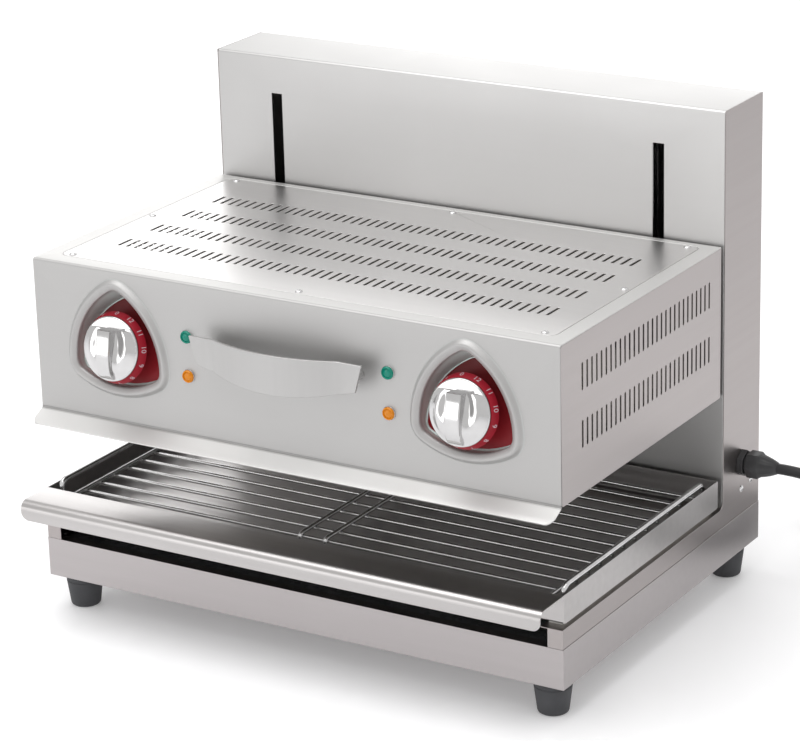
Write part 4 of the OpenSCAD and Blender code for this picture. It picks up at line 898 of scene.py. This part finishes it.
def scale_numbers(side, zero_angle):
    """The scale's numbers round one skirt, wrapped on its cone and raised a hair, as one mesh."""
    bm = bmesh.new()
    length = math.hypot(SKIRT_OUT - SKIRT_FOOT, SKIRT_FOOT_R - SKIRT_FRONT_R)
    back, flare = (SKIRT_OUT - SKIRT_FOOT) / length, (SKIRT_FOOT_R - SKIRT_FRONT_R) / length
    middle_out, middle_r = (SKIRT_OUT + SKIRT_FOOT) / 2 - 0.5, (SKIRT_FOOT_R + SKIRT_FRONT_R) / 2 + 0.2
    labels = [0, *range(12, 0, -1)]
    for i, label in enumerate(labels):
        text = bpy.data.curves.new("number", "FONT")
        text.body = str(label)
        text.size, text.extrude = 7.6, 0.06
        text.align_x = text.align_y = "CENTER"
        flat = evaluated_mesh(linked("number", text))
        for corner in flat.vertices:
            across, upward, raised = corner.co
            angle = math.radians(zero_angle + 360 / len(labels) * i) + across / middle_r
            x, z = around(middle_r + upward * flare + raised * back, math.pi / 2 - angle)
            corner.co = Vector((x, upward * back - raised * flare - middle_out, z)) * MM
        bm.from_mesh(flat)
    bmesh.ops.remove_doubles(bm, verts=bm.verts, dist=1e-7)
    bm.transform(dial_place(side))
    return mesh_from(bm, "scale_numbers")


skirt_profile = [(SKIRT_HOLE_OUT, 0), (SKIRT_HOLE_OUT, 11), (SKIRT_FOOT, 11), (SKIRT_FOOT, 35.9),
                 (2.3, 36.3), (2.8, 36.17), (10.2, 33.12), (SKIRT_OUT, 32.8), (SKIRT_OUT, 0)]
for side, name, zero_angle in ((-1, "left", 1), (1, "right", -6.9)):
    body, source = name + "_knob", "knob_" + name
    bm = bmesh.new()
    add_disc_and_dome(bm)
    add_bar(bm)
    bm.transform(dial_place(side))
    fitted(name + "_grip", mesh_from(bm, "grip", 28), chrome, "bright_steel", body, source)
    bm = bmesh.new()
    turn(bm, skirt_profile, dial_place(side) @ facing((0, 0, 0), (0, -1, 0)), KNOB_STEPS)
    fitted(name + "_skirt", mesh_from(bm, "skirt"), skirt_red, "red_enamel", body, source)
    numbers = scale_numbers(side, zero_angle)
    fitted(name + "_numbers", numbers, number_ink, "white_plastic", body, source)


# ---- Lamps ----
# Each side has a green lamp above an orange one: a lens of coloured plastic with a raised edge, in a
# thin plated bezel, snapped into the front.
def lens_plastic(name, colour):
    """Clear coloured plastic that glows faintly, as if lit from behind."""
    material, tree, shader = finish_of(name)
    depth = object_noise(tree, 350, 2)
    fill(shader, Base_Color=tint(tree, depth, [0.8 * c for c in colour], colour),
         Roughness=spread(tree, depth, 0.12, 0.2), Specular_IOR_Level=0.35,
         Emission_Color=(*colour, 1), Emission_Strength=0.04)
    return material


bezel_chrome = bright_metal("bezel chrome", (0.5, 0.5, 0.5), (0.6, 0.6, 0.6), 0.15, 0.25, 200)
lens_profile = [(-24, 0), (-24, 5.2), (0.02, 5.2), (0.04, 6.5), (2.4, 6.35), (3.3, 5.7), (3.5, 5.2),
                (3.1, 4.8), (2.3, 4.6), (2.5, 4.1), (3, 3), (3.25, 1.5), (3.3, 0)]
bezel_profile = [(0.02, 6.51), (0.02, 7), (0.6, 7), (0.9, 6.85), (1, 6.6), (0.9, 6.46), (0.02, 6.51)]
for name, colour in (("green", (0.002, 0.22, 0.155)), ("orange", (0.66, 0.22, 0.004))):
    source = "lamps_" + name
    lenses, bezels = bmesh.new(), bmesh.new()
    for low, centre, high in islands(source):
        place = facing((centre.x, FRONT_Y, centre.z), (0, -1, 0))
        turn(lenses, lens_profile, place, steps=40)
        turn(bezels, bezel_profile, place)
    bmesh.ops.remove_doubles(bezels, verts=bezels.verts, dist=1e-7)
    lens = lens_plastic(name + " lens", colour)
    fitted(name + "_lenses", mesh_from(lenses, "lenses"), lens, name + "_lens", "head", source)
    fitted(name + "_bezels", mesh_from(bezels, "bezels"), bezel_chrome, "bright_steel", "head", source)


# ---- Handle ----
# A strip of satin stainless steel, bowed towards the user and screwed to the front on two round
# spacers, with its long edges dressed smooth.
handle_steel = satin_steel("handle steel", (0.425, 0.42, 0.415), (0.445, 0.44, 0.435), 0.3, 0.34, "z",
                           metallic=0.75)
softened("handle", "bow_handle", handle_steel, "stainless", "head", 0.6, 3)


# ---- Drip tray ----
# An open pan folded from one sheet, with a long lip in front that ends in a rounded nose. It is
# brushed along its width and has faint marks from cleaning.
tray_steel = satin_steel("tray steel", (0.43, 0.415, 0.41), (0.49, 0.475, 0.47), 0.27, 0.35, "x", 2e-6)
softened("drip_tray", "tray", tray_steel, "stainless", "tray", 0.4)


# ---- Wire rack ----
# A rack of plated wire: cross wires under two pairs of long bars, spot welded where they cross, and
# a raised rail at each side on bent legs.
rack_plating = bright_metal("rack plating", (0.6, 0.6, 0.6), (0.7, 0.7, 0.7), 0.14, 0.24, 120)
wire_growth = growth_tree("straight wires", Starts="Geometry", Wire_Radius="Float", Sides="Int")
tree, given = wire_growth[:2]
lines = add_node(tree, "GeometryNodeMeshToCurve", Mesh=given["Starts"])
ring = add_node(tree, "GeometryNodeCurvePrimitiveCircle", Resolution=given["Sides"],
                Radius=given["Wire Radius"])
tube = add_node(tree, "GeometryNodeCurveToMesh", Curve=lines.outputs["Curve"],
                Profile_Curve=ring.outputs["Curve"], Fill_Caps=True)
end_growth(tree, given, tube.outputs["Mesh"])


def add_wires(name, routes, radius, source):
    """Round plated wires that follow these routes, as one piece of the rack."""
    mesh = bpy.data.meshes.new(name + "_routes")
    places, links = [], []
    for route in routes:
        links += [(len(places) + k, len(places) + k + 1) for k in range(len(route) - 1)]
        places += route
    mesh.from_pydata(places, links, [])
    mesh = grown(name, mesh, wire_growth, 60, Wire_Radius=radius, Sides=20, Finish=rack_plating)
    fitted(name, mesh, rack_plating, "bright_steel", "rack", source)


cross_wires = islands("rack_wires")
cross_routes = [[Vector((x, middle.y, middle.z)) for x in (low.x, high.x)]
                for low, middle, high in cross_wires]
low, middle, high = cross_wires[0]
WIRE_R = (high.z - low.z) / 2
add_wires("cross_wires", cross_routes, WIRE_R, "rack_wires")
BAR_R, RAIL_R, BEND_R, HOOK_R = 2.3 * MM, 3 * MM, 8 * MM, 4.5 * MM
bars_low, bars_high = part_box("rack_bars")
rail_x, rail_z = bars_high.x - RAIL_R, bars_high.z - RAIL_R
rail_front, rail_back, rail_foot = bars_low.y + RAIL_R, bars_high.y - RAIL_R, bars_low.z
WELD_DEPTH = 0.2 * MM
bar_z = middle.z + WIRE_R + BAR_R - WELD_DEPTH
outer_x, inner_x = 277.2 * MM, 14.7 * MM
hook_y = rail_front + (rail_back - rail_front) / (len(cross_wires) - 1)


def bend(centre_y, centre_z, radius, start, end, x, steps=8):
    """Places along a bend in a plane across the rack, from one angle to another in degrees."""
    turns = [around(radius, math.radians(start + (end - start) * k / steps)) for k in range(steps + 1)]
    return [Vector((x, centre_y + y, centre_z + z)) for y, z in turns]


bar_routes, rail_routes = [], []
for side in (-1, 1):
    bar_routes.append([Vector((side * outer_x, y, bar_z)) for y in (rail_front, rail_back)])
    bar_routes.append([Vector((side * inner_x, rail_back, bar_z))]
                      + bend(hook_y, bar_z - HOOK_R, HOOK_R, 90, 180, side * inner_x))
    x, z = side * rail_x, rail_z - BEND_R
    rail_routes.append([Vector((x, rail_front, rail_foot))]
                       + bend(rail_front + BEND_R, z, BEND_R, 180, 90, x)
                       + bend(rail_back - BEND_R, z, BEND_R, 90, 0, x)
                       + [Vector((x, rail_back, rail_foot))])
add_wires("long_bars", bar_routes, BAR_R, "rack_bars")
add_wires("side_rails", rail_routes, RAIL_R, "rack_bars")


# ---- Floor and light ----
# A pale floor under a white sky. A broad lamp hangs over the grill, a small low one stands in front
# at its left, and a wide one behind it gives the top and the column their bright sheen.
def area_light(name, place, target, size, power):
    """A soft oblong lamp aimed at a target, its size in metres and its power in watts."""
    data = bpy.data.lights.new(name, "AREA")
    data.shape = "RECTANGLE"
    data.size, data.size_y = size
    data.energy = power
    light = linked(name, data)
    light.location = place
    light.rotation_euler = (Vector(target) - Vector(place)).to_track_quat("-Z", "Y").to_euler()


FLOOR_HALF = 12
floor_mesh = bpy.data.meshes.new("floor")
floor_corners = [(x * FLOOR_HALF, y * FLOOR_HALF, 0) for x, y in ((-1, -1), (1, -1), (1, 1), (-1, 1))]
floor_mesh.from_pydata(floor_corners, [], [(0, 1, 2, 3)])
floor = linked("floor", floor_mesh)
paint(floor, moulded("pale floor", (0.86, 0.86, 0.87), (0.88, 0.88, 0.89), 0.6, 0.7,
                     Emission_Color=(1, 1, 1, 1), Emission_Strength=0.16))
area_light("overhead lamp", (-0.3, -0.6, 2.6), (0, 0, 0.2), (2.4, 2), 40)
area_light("front lamp", (-1.75, -3.1, 0.5), (0, 0, 0.35), (1.4, 0.9), 7.5)
area_light("back lamp", (-1.7, 2.8, 1.35), (0, 0, 0.35), (2.6, 1.2), 17.5)
sky = bpy.data.worlds.new("studio")
sky.use_nodes = True
fill(sky.node_tree.nodes["Background"], Color=(1, 0.995, 0.99, 1), Strength=0.85)
scene.world = sky
scene.view_settings.view_transform = "Standard"
